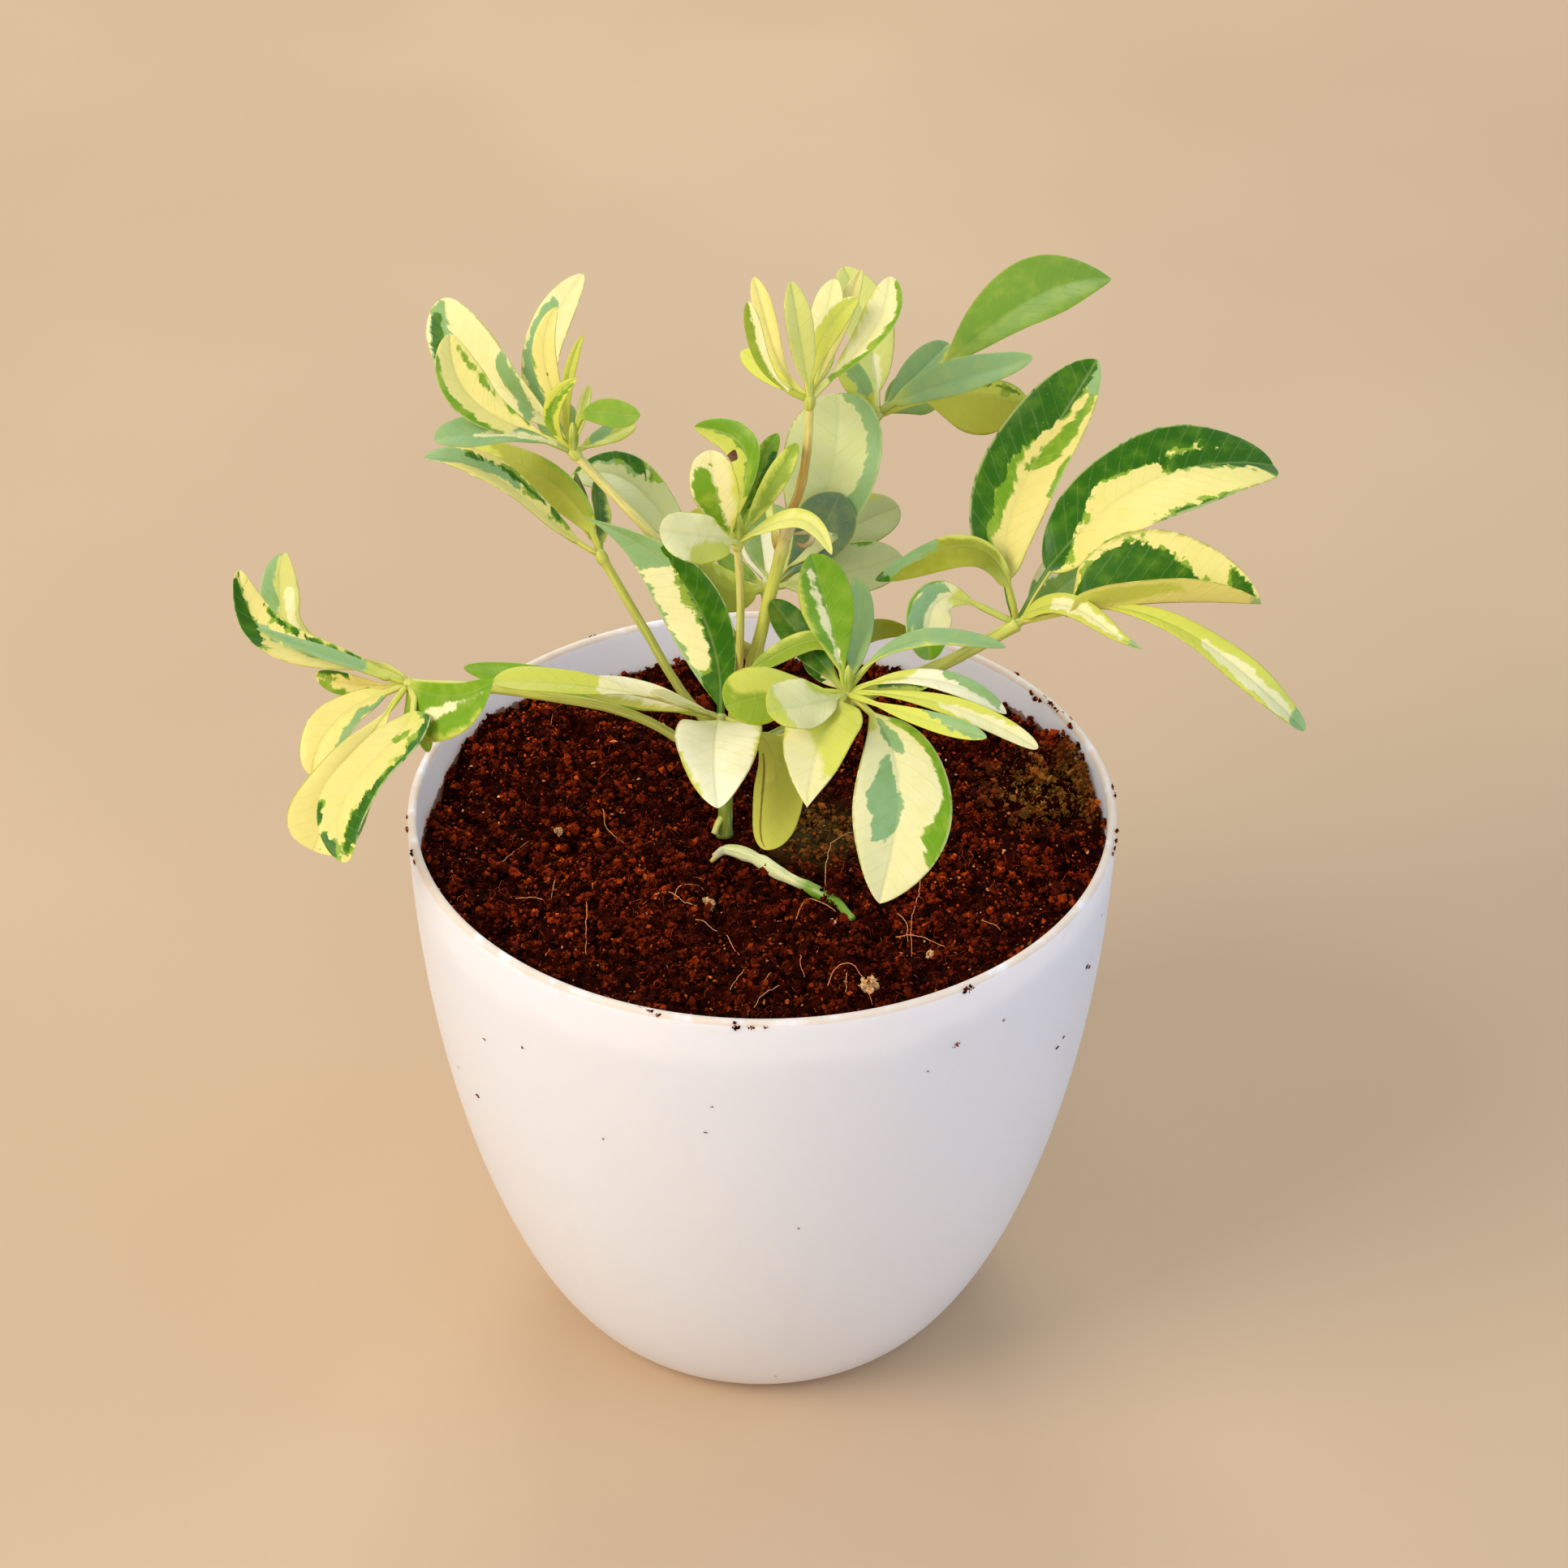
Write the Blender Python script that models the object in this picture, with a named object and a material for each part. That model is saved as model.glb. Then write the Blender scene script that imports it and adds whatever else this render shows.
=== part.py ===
"""Potted umbrella tree: a young variegated shrub in a round white plastic pot."""
import math

import bmesh
import bpy
import numpy as np

MM = 0.001

# Pot, in millimetres
POT_HEIGHT = 130.0
RIM_RADIUS = 75.0
FOOT_RADIUS = 39.3
WALL = 1.9
FLOOR = 2.6
STEPS_ROUND = 40
GAP = 0.3

# Soil, in millimetres
SOIL_LEVEL = 118.0
SOIL_MOUND = 1.5
SOIL_RISE = 4.5
HEAP = 5.5
HEAP_ANGLE = math.radians(146)
HEAP_SPREAD = math.radians(26)
STEM_FOOT = (-8.0, 2.5)
STEM_PAD = 119.1

# Plant, in millimetres
HUB_RADIUS = 1.9
HUB_STEM = 5.0
LEAF_THICK = 0.75
LEAFLET_STALK = 0.75
STATIONS = (0, 0.12, 0.3, 0.48, 0.66, 0.84, 1)
PLAIN_BLADE = dict(peak=0.6, blunt=0.6, stalk=0.12, swing=0, fold=15, lean=0)

# The plant's good side looks this way, 35 degrees above level
ELEVATION = math.radians(35.24)
RIGHT = np.array([1.0, 0.0, 0.0])
UPWARD = np.array([0.0, math.sin(ELEVATION), math.cos(ELEVATION)])
DEEP = np.array([0.0, math.cos(ELEVATION), -math.sin(ELEVATION)])

# Main stem: points, and the radius at each
STEM = [(-8, 2.5, 119.45), (-8, 2.6, 121), (-7.9, 2.8, 126), (-7.4, 3.6, 136), (-6, 4.8, 147), (-2.8, 6, 158),
        (-0.8, 7, 166), (0.8, 8, 173.5), (2.5, 8.6, 181), (4.1, 9, 188.5), (5.2, 9, 194.3)]
STEM_RADII = [2.1, 1.75, 1.6, 1.55, 1.55, 1.5, 1.45, 1.4, 1.35, 1.3, 1.5]
STUB = [(-8, 2.6, 125), (-9.3, 1.4, 123.6), (-10.4, 0.2, 121.4)]
SHOOT = [(5.35, 9, 194.9), (6.2, 9.1, 197.5), (7.4, 9.5, 201), (8.4, 10, 206.5), (9, 10, 213), (9.3, 10, 222)]

# Leaf stalks: the points from the main stem out to the hub that carries the leaflets
STALKS = {
    "left": [(-9.6, 3.4, 139), (-12, 3.2, 140.2), (-17, 2.6, 143.8), (-23.7, 2, 148.8), (-32, 1, 153.1),
             (-40.5, 0.5, 155.4), (-57, 0, 158.5), (-73.6, 0, 159.4)],
    "left_back": [(-9, 5.8, 143), (-10.8, 6.8, 144), (-15.8, 8, 150.5), (-19.6, 9, 156.6), (-23.8, 10, 164.9),
                  (-28.7, 11, 174.2), (-33.6, 12, 183.7)],
    "upper_left": [(-3.4, 8.4, 163), (-6, 10, 165), (-13.5, 12.8, 176.2), (-21.6, 14.6, 185.3),
                   (-26.9, 16.2, 191), (-32.8, 18.5, 196.6), (-39.3, 20, 203.6)],
    "front_top": [(-5.2, 2.5, 152.8), (-5.7, 1, 154.6), (-4.9, 0.6, 162), (-4.6, 0, 174.5), (-4.6, -1, 185),
                  (-5.2, -3, 196.4)],
    "back_right": [(3.3, 11.3, 188.1), (2.7, 13.5, 188.6), (1.4, 20, 189.3), (1.6, 27, 190),
                   (5.5, 34.5, 191.5),
                   (12.5, 39.3, 194), (19.5, 41, 197.3), (23.7, 40.4, 201.1)],
    "right": [(-4.1, 3.6, 140.8), (-1.8, 3.6, 141.9), (8.6, 4, 147.6), (20.4, 4, 153.9), (30.5, 3, 159.7),
              (39.6, 3, 164.5), (47.9, 4, 169.3), (52.6, 5, 172.1)],
    "front": [(-5.3, 1.9, 144.6), (-3.9, 0.2, 145.8), (4.3, -4, 149), (11.9, -9, 155.5), (16.4, -14, 163),
              (17.2, -16, 168.4)],
    "middle": [(-4.5, 7.9, 150.6), (-4, 9.8, 152), (-1.4, 14.5, 158), (0.2, 18, 164.9), (0.7, 20, 170.7)],
}
STALK_RADIUS = {"left": 1.15, "left_back": 1.05, "upper_left": 1.1, "front_top": 0.95, "back_right": 1.1,
                "right": 1.25, "front": 1.1, "middle": 1.0}
LOW_HUB = [(-7.1, 2.5, 147.3), (-7.7, 0.4, 149), (-8.6, -4, 154)]
FALLEN = [(-10, -7.6), (-7.6, -5.4), (-1.7, -8), (3.5, -13.1), (9, -17.6), (15, -22.6), (19, -29)]

# Leaflets of each whorl: name, then how far the tip lies right, up and behind in that view,
# width, turn of the blade, arch toward the front, bow to its right, and any change of its shape
LEAFLETS = {
    "left": [
        ("A1", -35.5, 23.5, 6, 10, -30, 0.05, -0.16, dict(swing=0.06, fold=25, peak=0.62)),
        ("A2", -26.5, 26.5, 24, 9.5, 10, 0, -0.2, dict(swing=0.09, peak=0.8, blunt=0.5)),
        ("A3", -30.5, 11, -8, 5.5, -60, 0, -0.01, dict(peak=0.35)),
        ("A4", -21, 2, 16, 5.5, 20, 0, -0.04, dict(peak=0.7)),
        ("A5", -19, -19, -6, 9.5, -20, 0, 0.16, dict(swing=-0.02, stalk=0.15, blunt=0.5)),
        ("A6", -17.5, -34.5, -16, 17, -12, 0.1, 0.02, dict(peak=0.8, blunt=0.38)),
        ("A7", -9.5, -36.5, -26, 15.5, -30, 0.08, 0.02,
         dict(swing=-0.08, peak=0.45, blunt=0.5, stalk=0.18, lean=-0.2)),
        ("A8", 19, 0, -20, 13, 10, 0, 0.1, dict(lean=0.6, stalk=0, peak=0.5, blunt=0.5)),
        ("A9", 3.5, -14, 10, 4, 30, 0, 0)],
    "left_back": [
        ("B1", -36, 19.5, -6, 11, -58, 0.05, 0.065, dict(swing=-0.033, blunt=0.48)),
        ("B2", -27, 24, 14, 9, 165, 0, 0.11, dict(swing=0.015, peak=0.55, blunt=0.5)),
        ("B3", -6.5, 18, 20, 7.5, 60, 0, 0),
        ("B4", -1.5, 16.5, 16, 7, -60, 0, 0)],
    "upper_left": [
        ("C1", -27, 32.5, 8, 15, 25, -0.06, -0.062, dict(swing=0.04, peak=0.7, blunt=0.55, lean=0.05)),
        ("C2", -24.5, 23, -10, 11, -25, 0.05, -0.165, dict(swing=0.045, peak=0.7, blunt=0.6)),
        ("C3", 1.5, 38, 12, 10, 25, -0.08, -0.19),
        ("C4", -3, 29, -6, 5.5, 20, 0, -0.1, dict(swing=0.036)),
        ("C5", 2.5, 23, -10, 2.5, 0, 0, -0.09),
        ("C6", 1.5, 14, -12, 4, 20, 0, -0.25, dict(peak=0.5)),
        ("C7", 14.5, 6, -18, 6, 25, 0, -0.2, dict(swing=-0.06, stalk=0.25, peak=0.6)),
        ("C8", 2.5, 15.5, 18, 2.5, 0, 0, 0),
        ("C9", 12.5, 6.5, 8, 5.5, 30, 0, 0),
        ("C10", -27.5, 1.5, -10, 8, -35, 0.06, 0.08, dict(peak=0.72, blunt=0.5)),
        ("C11", -6, 12, 28, 9, 0, 0, 0)],
    "low": [
        ("K1", -28.5, 41, -10, 14, 20, 0, 0.185, dict(peak=0.39, blunt=1.4, stalk=0.03, lean=-0.14)),
        ("K2", 0, -18.5, -28, 18.5, 0, 0.1, 0.03, dict(peak=0.31, blunt=0.62, lean=-0.08)),
        ("K3", 10.5, -27, -14, 12, 165, 0, -0.215, dict(swing=-0.05, peak=0.58, stalk=0.2, blunt=0.5)),
        ("K4", -14.5, 5, -8, 6.5, -72, 0, 0),
        ("K5", -46.5, 7, -12, 9, -50, 0.06, 0.045, dict(peak=0.8)),
        ("K6", -30.5, 6.5, -3, 6.5, -15, 0, 0.035),
        ("K7", -55.5, 11, 26, 7, -20, 0, 0)],
    "front_top": [
        ("D1", -9, 24, 10, 7.5, 20, 0, 0.25, dict(swing=-0.09, peak=0.68)),
        ("D2", -5, 17.5, -12, 10.5, 20, 0.08, -0.06, dict(peak=0.66, blunt=0.5)),
        ("D3", 8, 23, 12, 5.5, 20, 0, -0.03),
        ("D4", 12, 20, 0, 5, 10, 0, 0.01),
        ("D5", 19, -3, -10, 4.5, 20, 0, -0.27, dict(swing=0.05, peak=0.5)),
        ("D6", -15, 1, -20, 11, -10, 0.1, 0, dict(lean=-0.2, peak=0.7, blunt=0.38)),
        ("D7", -9.5, 6.5, 8, 4.5, 0, 0, 0)],
    "crown": [
        ("E1", -12.5, 19, -6, 4, 30, -0.05, -0.15, dict(swing=-0.03, peak=0.66)),
        ("E2", -11.5, 25.5, 8, 4.5, 0, -0.06, -0.07, dict(swing=-0.02, peak=0.68)),
        ("E3", -4, 22.5, -10, 6.5, -25, 0.08, 0, dict(peak=0.58)),
        ("E4", 5, 26, 14, 7.5, 30, -0.08, 0, dict(peak=0.7)),
        ("E5", 9.5, 20.5, 0, 6, 20, 0.06, -0.12),
        ("E6", 10.5, 28.5, 18, 4, 0, 0, 0),
        ("E8", 16, 25.5, 6, 8, 25, 0.05, 0.1, dict(swing=-0.02, peak=0.68)),
        ("E9", -14, 11.5, 18, 5.5, 0, 0, 0),
        ("E10", 2, 16, 24, 8, 0, 0, 0)],
    "back_right": [
        ("F1", 50, 30.5, 14, 17, 30, 0.08, -0.062,
         dict(swing=0.025, peak=0.6, stalk=0.26, blunt=0.8, lean=-0.08)),
        ("F2", 32, 11.5, -8, 9, 30, 0.06, -0.03, dict(swing=-0.015, peak=0.5)),
        ("F3", 15.5, 17, 18, 8, 0, 0, 0),
        ("F4", 32, 3.5, 8, 14.5, 150, 0, -0.09, dict(stalk=0.3, peak=0.64, lean=-0.5)),
        ("F5", -7, 32.5, 12, 12.5, -25, 0, 0.052),
        ("F6", -8, 11, -8, 6, 0, 0, 0),
        ("F7", 12, 8.5, 30, 11, 10, 0, 0)],
    "right": [
        ("G1", 16.5, 55, 4, 18, 20, -0.05, -0.12,
         dict(swing=-0.025, lean=-0.14, stalk=0.14, peak=0.48, blunt=0.58)),
        ("G2", 54.5, 34, 14, 23.5, 30, 0.1, -0.165, dict(lean=0.06, stalk=0.16, peak=0.56, blunt=0.42)),
        ("G3", 49.5, 4, -8, 23.5, 60, 0.08, -0.04,
         dict(fold=60, stalk=0.2, peak=0.45, blunt=0.72, lean=-0.25)),
        ("G4", 57, -21.5, -16, 7.5, 30, 0.05, -0.165, dict(swing=-0.02, stalk=0.2, peak=0.7, blunt=0.5)),
        ("G5", 23.5, -5.5, -18, 5.5, 25, 0, -0.165, dict(swing=-0.05, stalk=0.05, peak=0.3, blunt=0.8)),
        ("G6", -29.5, 8.5, -6, 8, -25, 0, 0.38, dict(swing=0.06, stalk=0.12, peak=0.45, lean=-0.35)),
        ("G7", -18.5, -8, -8, 10.5, 0, 0, 0.45,
         dict(swing=-0.1, peak=0.78, blunt=0.45, stalk=0.25, lean=0.12)),
        ("G8", 20, 16, 34, 14, 20, 0, 0)],
    "front": [
        ("H1", -7.5, 28, -6, 12, -20, -0.05, 0.012, dict(peak=0.65)),
        ("H2", 2, 24, 8, 6.5, 0, 0, 0.05),
        ("H3", 32, 9.5, -4, 6, 50, 0.06, -0.185, dict(swing=-0.02)),
        ("H4", 32, -4, -8, 5, 25, 0.08, -0.15, dict(peak=0.66, stalk=0.06)),
        ("H5", 38, -11, -14, 5, 25, 0.08, -0.075, dict(peak=0.7, blunt=0.48, stalk=0.06)),
        ("H6", 27.5, -9, -20, 4.5, 20, 0.06, 0.01, dict(peak=0.7)),
        ("H7", 6.5, -42, -18, 21, 15, 0.1, -0.16, dict(swing=-0.02, peak=0.56, blunt=0.76, lean=-0.05)),
        ("H8", -8, -23, -20, 16, -20, 0.08, 0.06, dict(peak=0.36, blunt=0.95)),
        ("H9", -16, -4, -18, 12, -20, 0.05, -0.02, dict(peak=0.72, blunt=0.42)),
        ("H10", 18, 3, 10, 4.5, 20, 0, 0),
        ("H11", -24.5, -3, -8, 13, -20, 0, 0.06, dict(peak=0.74, blunt=0.45)),
        ("H12", -19.5, 5, 6, 5, -10, 0, 0.4, dict(swing=0.08)),
        ("H13", -8.5, 8.5, 12, 5, 0, 0, 0),
        ("H14", 13.5, 13, 12, 5, 0, 0, -0.3),
        ("H15", -15.5, 19.5, 14, 7.5, 0, 0, 0)],
    "middle": [
        ("I1", 14.5, 40.5, -6, 22, 15, 0.08, 0.115, dict(peak=0.68, blunt=0.5)),
        ("I2", 15, 19.5, -10, 13, 0, 0, 0.08, dict(peak=0.72)),
        ("I3", 28, 18, 10, 13, 20, 0, -0.05, dict(peak=0.7)),
        ("I4", 28.5, 6.5, -2, 12.5, 20, 0.1, 0.02),
        ("I5", -2, 14.5, 24, 9.5, 0, 0, 0),
        ("I6", -14.5, 5.5, -6, 10, 160, 0, -0.2, dict(peak=0.5)),
        ("I7", -11, 8, 8, 4, 0, 0, 0),
        ("I8", -42.5, 24.5, 22, 12, -25, 0.08, 0.04, dict(swing=-0.07, peak=0.75, blunt=0.5)),
        ("I9", 10.5, 9, -2, 5.5, 0, 0, 0),
        ("I10", 0, 20, 34, 12, 0, 0, 0)],
}


def clear_scene():
    for obj in list(bpy.data.objects):
        bpy.data.objects.remove(obj, do_unlink=True)


def collection(name):
    made = bpy.data.collections.new(name)
    bpy.context.scene.collection.children.link(made)
    return made


def material(name, colour, roughness=0.5):
    made = bpy.data.materials.new(name)
    made.use_nodes = True
    shader = made.node_tree.nodes["Principled BSDF"]
    shader.inputs["Base Color"].default_value = (*colour, 1)
    shader.inputs["Roughness"].default_value = roughness
    return made


def solid(name, points, faces, into, look=None):
    """A closed mesh facing out, from points in millimetres."""
    mesh = bpy.data.meshes.new(name)
    mesh.from_pydata((np.asarray(points, float) * MM).tolist(), [], faces)
    body = bmesh.new()
    body.from_mesh(mesh)
    bmesh.ops.recalc_face_normals(body, faces=body.faces)
    bmesh.ops.triangulate(body, faces=body.faces)
    body.to_mesh(mesh)
    body.free()
    if look:
        mesh.materials.append(look)
    obj = bpy.data.objects.new(name, mesh)
    into.objects.link(obj)
    return obj


def ring_faces(rings, sides, closed_ends=True):
    faces = []
    for i in range(rings - 1):
        for j in range(sides):
            k = (j + 1) % sides
            faces.append((i * sides + j, i * sides + k, (i + 1) * sides + k, (i + 1) * sides + j))
    if closed_ends:
        faces.append(tuple(range(sides))[::-1])
        faces.append(tuple((rings - 1) * sides + j for j in range(sides)))
    return faces


def lathe(name, profile, into, look, steps=STEPS_ROUND):
    """A profile of (radius, height) turned round the axis. Its first and last radius are zero."""
    points, rows = [], []
    for radius, height in profile:
        if radius == 0:
            rows.append([len(points)] * steps)
            points.append((0, 0, height))
            continue
        rows.append(list(range(len(points), len(points) + steps)))
        for j in range(steps):
            angle = 2 * math.pi * j / steps
            points.append((radius * math.cos(angle), radius * math.sin(angle), height))
    faces = []
    for low, high in zip(rows, rows[1:]):
        for j in range(steps):
            k = (j + 1) % steps
            face = [low[j], low[k], high[k], high[j]]
            faces.append(tuple(dict.fromkeys(face)))
    return solid(name, points, faces, into, look)


def pot_radius(height):
    """The pot's outer radius: it flares fast above the foot and runs nearly straight to the rim."""
    share = min(max(height / POT_HEIGHT, 0), 1)
    return FOOT_RADIUS + (RIM_RADIUS - FOOT_RADIUS) * (1 - (1 - share) ** 1.91) ** 0.66


def ease(share):
    share = np.clip(share, 0, 1)
    return share * share * (3 - 2 * share)


def soil_height(x, y):
    """The soil's top: a low mound, higher at the right wall and at the back left, level round the stem."""
    x, y = np.asarray(x, float), np.asarray(y, float)
    radius = np.hypot(x, y)
    beside = 1 - np.abs(np.arctan2(y, x) - HEAP_ANGLE) / HEAP_SPREAD
    height = SOIL_LEVEL + SOIL_MOUND * (1 - (radius / 72) ** 2) + SOIL_RISE * ease((x - 12) / 52)
    height = height + HEAP * ease((radius - 48) / 20) * ease(beside)
    away = np.clip((np.hypot(x - STEM_FOOT[0], y - STEM_FOOT[1]) - 4) / 5, 0, 1)
    return height * away + STEM_PAD * (1 - away)


def smooth_path(points, count):
    """Points spaced evenly along a curve through the given ones."""
    p = np.asarray(points, float)
    p = np.vstack([2 * p[0] - p[1], p, 2 * p[-1] - p[-2]])
    out = []
    for a, b, c, d in zip(p, p[1:], p[2:], p[3:]):
        for t in np.arange(8) / 8:
            out.append(0.5 * (2 * b + (c - a) * t + (2 * a - 5 * b + 4 * c - d) * t ** 2
                              + (3 * b - a - 3 * c + d) * t ** 3))
    out.append(p[-2])
    out = np.array(out)
    run = np.concatenate([[0], np.cumsum(np.linalg.norm(np.diff(out, axis=0), axis=1))])
    at = np.linspace(0, run[-1], count)
    return np.stack([np.interp(at, run, out[:, k]) for k in range(3)], 1), at


def cut_path(points, start, end, count):
    """The stretch of a smooth path between two distances along it."""
    fine, run = smooth_path(points, 200)
    at = np.linspace(start, run[-1] + end if end <= 0 else end, count)
    return np.stack([np.interp(at, run, fine[:, k]) for k in range(3)], 1)


def tube(name, path, radii, into, look=None, sides=7):
    """A round limb swept along a path."""
    path = np.asarray(path, float)
    radii = np.broadcast_to(radii, len(path))
    along = np.gradient(path, axis=0)
    along /= np.linalg.norm(along, axis=1)[:, None]
    side = np.cross(along[0], [0.3, 1, 0.2])
    points = []
    for p, t, r in zip(path, along, radii):
        side = side - t * (side @ t)
        side /= np.linalg.norm(side)
        other = np.cross(t, side)
        for j in range(sides):
            angle = 2 * math.pi * j / sides
            points.append(p + r * (math.cos(angle) * side + math.sin(angle) * other))
    return solid(name, points, ring_faces(len(path), sides), into, look)


def ball(name, centre, radius, into):
    mesh = bpy.data.meshes.new(name)
    body = bmesh.new()
    bmesh.ops.create_icosphere(body, subdivisions=1, radius=radius * MM)
    bmesh.ops.translate(body, verts=body.verts, vec=[c * MM for c in centre])
    body.to_mesh(mesh)
    body.free()
    obj = bpy.data.objects.new(name, mesh)
    into.objects.link(obj)
    return obj


def leaflet(name, hub, right, up, behind, width, turn, arch, bow, shape=None, into=None):
    """A blade from the hub to its tip: a thin stalk, then halves that widen and close at the tip."""
    shape = {**PLAIN_BLADE, **(shape or {})}
    peak, blunt, stalk = shape["peak"], shape["blunt"], shape["stalk"]
    chord = right * RIGHT + up * UPWARD + behind * DEEP
    length = np.linalg.norm(chord)
    along = chord / length
    side = np.cross(along, -DEEP)
    side /= np.linalg.norm(side)
    front = np.cross(side, along)

    def rib(u):
        bend, wave = 4 * u * (1 - u), 10.4 * u * (1 - u) * (1 - 2 * u)
        return hub + chord * u + length * (front * arch * bend + side * (bow * bend + shape["swing"] * wave))

    u = np.concatenate([[0], stalk + (1 - stalk) * np.array(STATIONS)])[:, None]
    tangent = rib(u + 0.004) - rib(u - 0.004)
    tangent /= np.linalg.norm(tangent, axis=1)[:, None]
    across = side - (tangent @ side)[:, None] * tangent
    across /= np.linalg.norm(across, axis=1)[:, None]
    facing = np.cross(across, tangent)
    angle = math.radians(turn)
    across, facing = (across * math.cos(angle) + facing * math.sin(angle),
                      facing * math.cos(angle) - across * math.sin(angle))
    v = np.clip((u - stalk) / (1 - stalk), 0, 1)
    rise = blunt * peak / (1 - peak)
    half = width / 2 * v ** rise * (1 - v) ** blunt / (peak ** rise * (1 - peak) ** blunt)
    half = np.maximum(half, np.where(v <= 0, LEAFLET_STALK, 0.35))
    thick = np.where(v <= 0, 2 * LEAFLET_STALK, max(LEAF_THICK, 0.0105 * length)) / 2
    fold = math.radians(shape["fold"])
    points = []
    for c, t in ((-1, 1), (0, 1), (1, 1), (1, -1), (0, -1), (-1, -1)):
        reach = half * (1 + c * shape["lean"])
        points.append(rib(u) + across * reach * c * math.cos(fold)
                      + facing * (reach * abs(c) * math.sin(fold) + thick * t))
    points = np.stack(points, 1).reshape(-1, 3)
    return solid(name, points, ring_faces(len(u), 6), into)


def fuse(name, first, others, into, look):
    """One closed body from a solid and a collection of them."""
    union = first.modifiers.new("Fuse", "BOOLEAN")
    union.operation = "UNION"
    union.operand_type = "COLLECTION"
    union.collection = others
    union.solver = SOLVER
    bpy.context.view_layer.update()
    graph = bpy.context.evaluated_depsgraph_get()
    mesh = bpy.data.meshes.new_from_object(first.evaluated_get(graph))
    first.modifiers.clear()
    mesh.name = name
    mesh.materials.clear()
    mesh.materials.append(look)
    obj = bpy.data.objects.new(name, mesh)
    into.objects.link(obj)
    for piece in [*others.objects, first]:
        bpy.data.objects.remove(piece, do_unlink=True)
    bpy.data.collections.remove(others)
    return obj


SOLVER = "MANIFOLD"

clear_scene()
plant = collection("Potted_umbrella_tree")
cutters = collection("Cutters")
cutters.hide_render = True

white = material("White_plastic", (0.85, 0.85, 0.84), 0.35)
earth = material("Coir_soil", (0.12, 0.03, 0.012), 0.95)
stem_look = material("Young_stem", (0.55, 0.58, 0.2), 0.55)
stalk_look = material("Leaf_stalk", (0.45, 0.55, 0.15), 0.5)
cut_look = material("Cut_stalk", (0.62, 0.66, 0.35), 0.6)
leaf_look = material("Variegated_leaf", (0.5, 0.6, 0.14), 0.4)

# Pot
HEIGHTS = [1.2, 4, 9, 16, 26, 40, 58, 82, 106, 129.2]
outer = [(0, 0), (FOOT_RADIUS - 1.2, 0)] + [(pot_radius(h), h) for h in HEIGHTS]
rim = [(RIM_RADIUS - 0.5, POT_HEIGHT), (RIM_RADIUS - WALL + 0.4, POT_HEIGHT),
       (RIM_RADIUS - WALL, POT_HEIGHT - 0.6)]
inner = [(pot_radius(h) - WALL, h) for h in (106, 82, 58, 40, 26, 16, 9, FLOOR + 1.5)]
lathe("pot", outer + rim + inner + [(FOOT_RADIUS - 1, FLOOR), (0, FLOOR)], plant, white)

# Soil
points = [(0, 0, FLOOR + GAP)]
rows = [[0] * STEPS_ROUND]
sides = [(pot_radius(h) - WALL - GAP - 0.15, h) for h in (FLOOR + 1.8, 9, 16, 26, 40, 58, 82, 106)]
ring_angles = 2 * math.pi * np.arange(STEPS_ROUND) / STEPS_ROUND
for radius, height in [(FOOT_RADIUS - 1.5, FLOOR + GAP)] + sides:
    rows.append(list(range(len(points), len(points) + STEPS_ROUND)))
    points += [(radius * math.cos(a), radius * math.sin(a), height) for a in ring_angles]
for radius in (72.2, 62, 50, 38, 26, 14):
    rows.append(list(range(len(points), len(points) + STEPS_ROUND)))
    for a in ring_angles:
        x, y = radius * math.cos(a), radius * math.sin(a)
        top = float(soil_height(x, y))
        limit = pot_radius(top) - WALL - GAP - 0.15
        x, y = x * min(1, limit / radius), y * min(1, limit / radius)
        points.append((x, y, top))
rows.append([len(points)] * STEPS_ROUND)
points.append((0, 0, float(soil_height(0, 0))))
faces = []
for low, high in zip(rows, rows[1:]):
    for j in range(STEPS_ROUND):
        k = (j + 1) % STEPS_ROUND
        faces.append(tuple(dict.fromkeys([low[j], low[k], high[k], high[j]])))
solid("soil", points, faces, plant, earth)

# Main stem with the stub of a cut stalk, and the shoot above it
more = collection("Stem_parts")
path, _ = smooth_path(STEM, 16)
heights = [p[2] for p in STEM]
stem_tube = tube("stem_tube", path, np.interp(path[:, 2], heights, STEM_RADII), cutters)
tube("stub", cut_path(STUB, 0, 0, 4), [1.1, 1.2, 1.2, 1.15], more)
fuse("main_stem", stem_tube, more, plant, stem_look)
tube("crown_shoot", cut_path(SHOOT, 0, -HUB_STEM - GAP, 7), np.linspace(1.05, 0.9, 7), plant, stem_look)

# Leaf stalks
for name, line in STALKS.items():
    radius = STALK_RADIUS[name]
    path = cut_path(line, 0, -HUB_STEM - GAP, 9)
    radii = radius * np.array([1.35, 1.25, 1.1, 1, 1, 0.97, 0.95, 0.93, 0.95])
    tube("stalk_" + name, path, radii, plant, stalk_look)

# Whorls of leaflets, each fused on its own hub
for name, rows in LEAFLETS.items():
    line = LOW_HUB if name == "low" else SHOOT if name == "crown" else STALKS[name]
    hub = np.array(line[-1], float)
    others = collection("Leaflets_" + name)
    centre = ball("hub_" + name, hub, HUB_RADIUS, cutters)
    run = smooth_path(line, 200)[1][-1]
    start = 0 if name == "low" else run - HUB_STEM
    tube("hub_stem_" + name, cut_path(line, start, 0, 4), 0.95, others)
    for row in rows:
        leaflet(row[0], hub, *row[1:], into=others)
    fuse("leaves_" + name, centre, others, plant, leaf_look)

# The cut stalk lying on the soil
path = [(x, y, float(soil_height(x, y)) + 1.85) for x, y in FALLEN]
radii = [0.8, 1.35, 1.4, 1.35, 1.3, 1.3, 1.3, 1.3, 1.25, 1.0]
tube("fallen_stalk", cut_path(path, 0, 0, 10), radii, plant, cut_look)
bpy.data.collections.remove(cutters)
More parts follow.
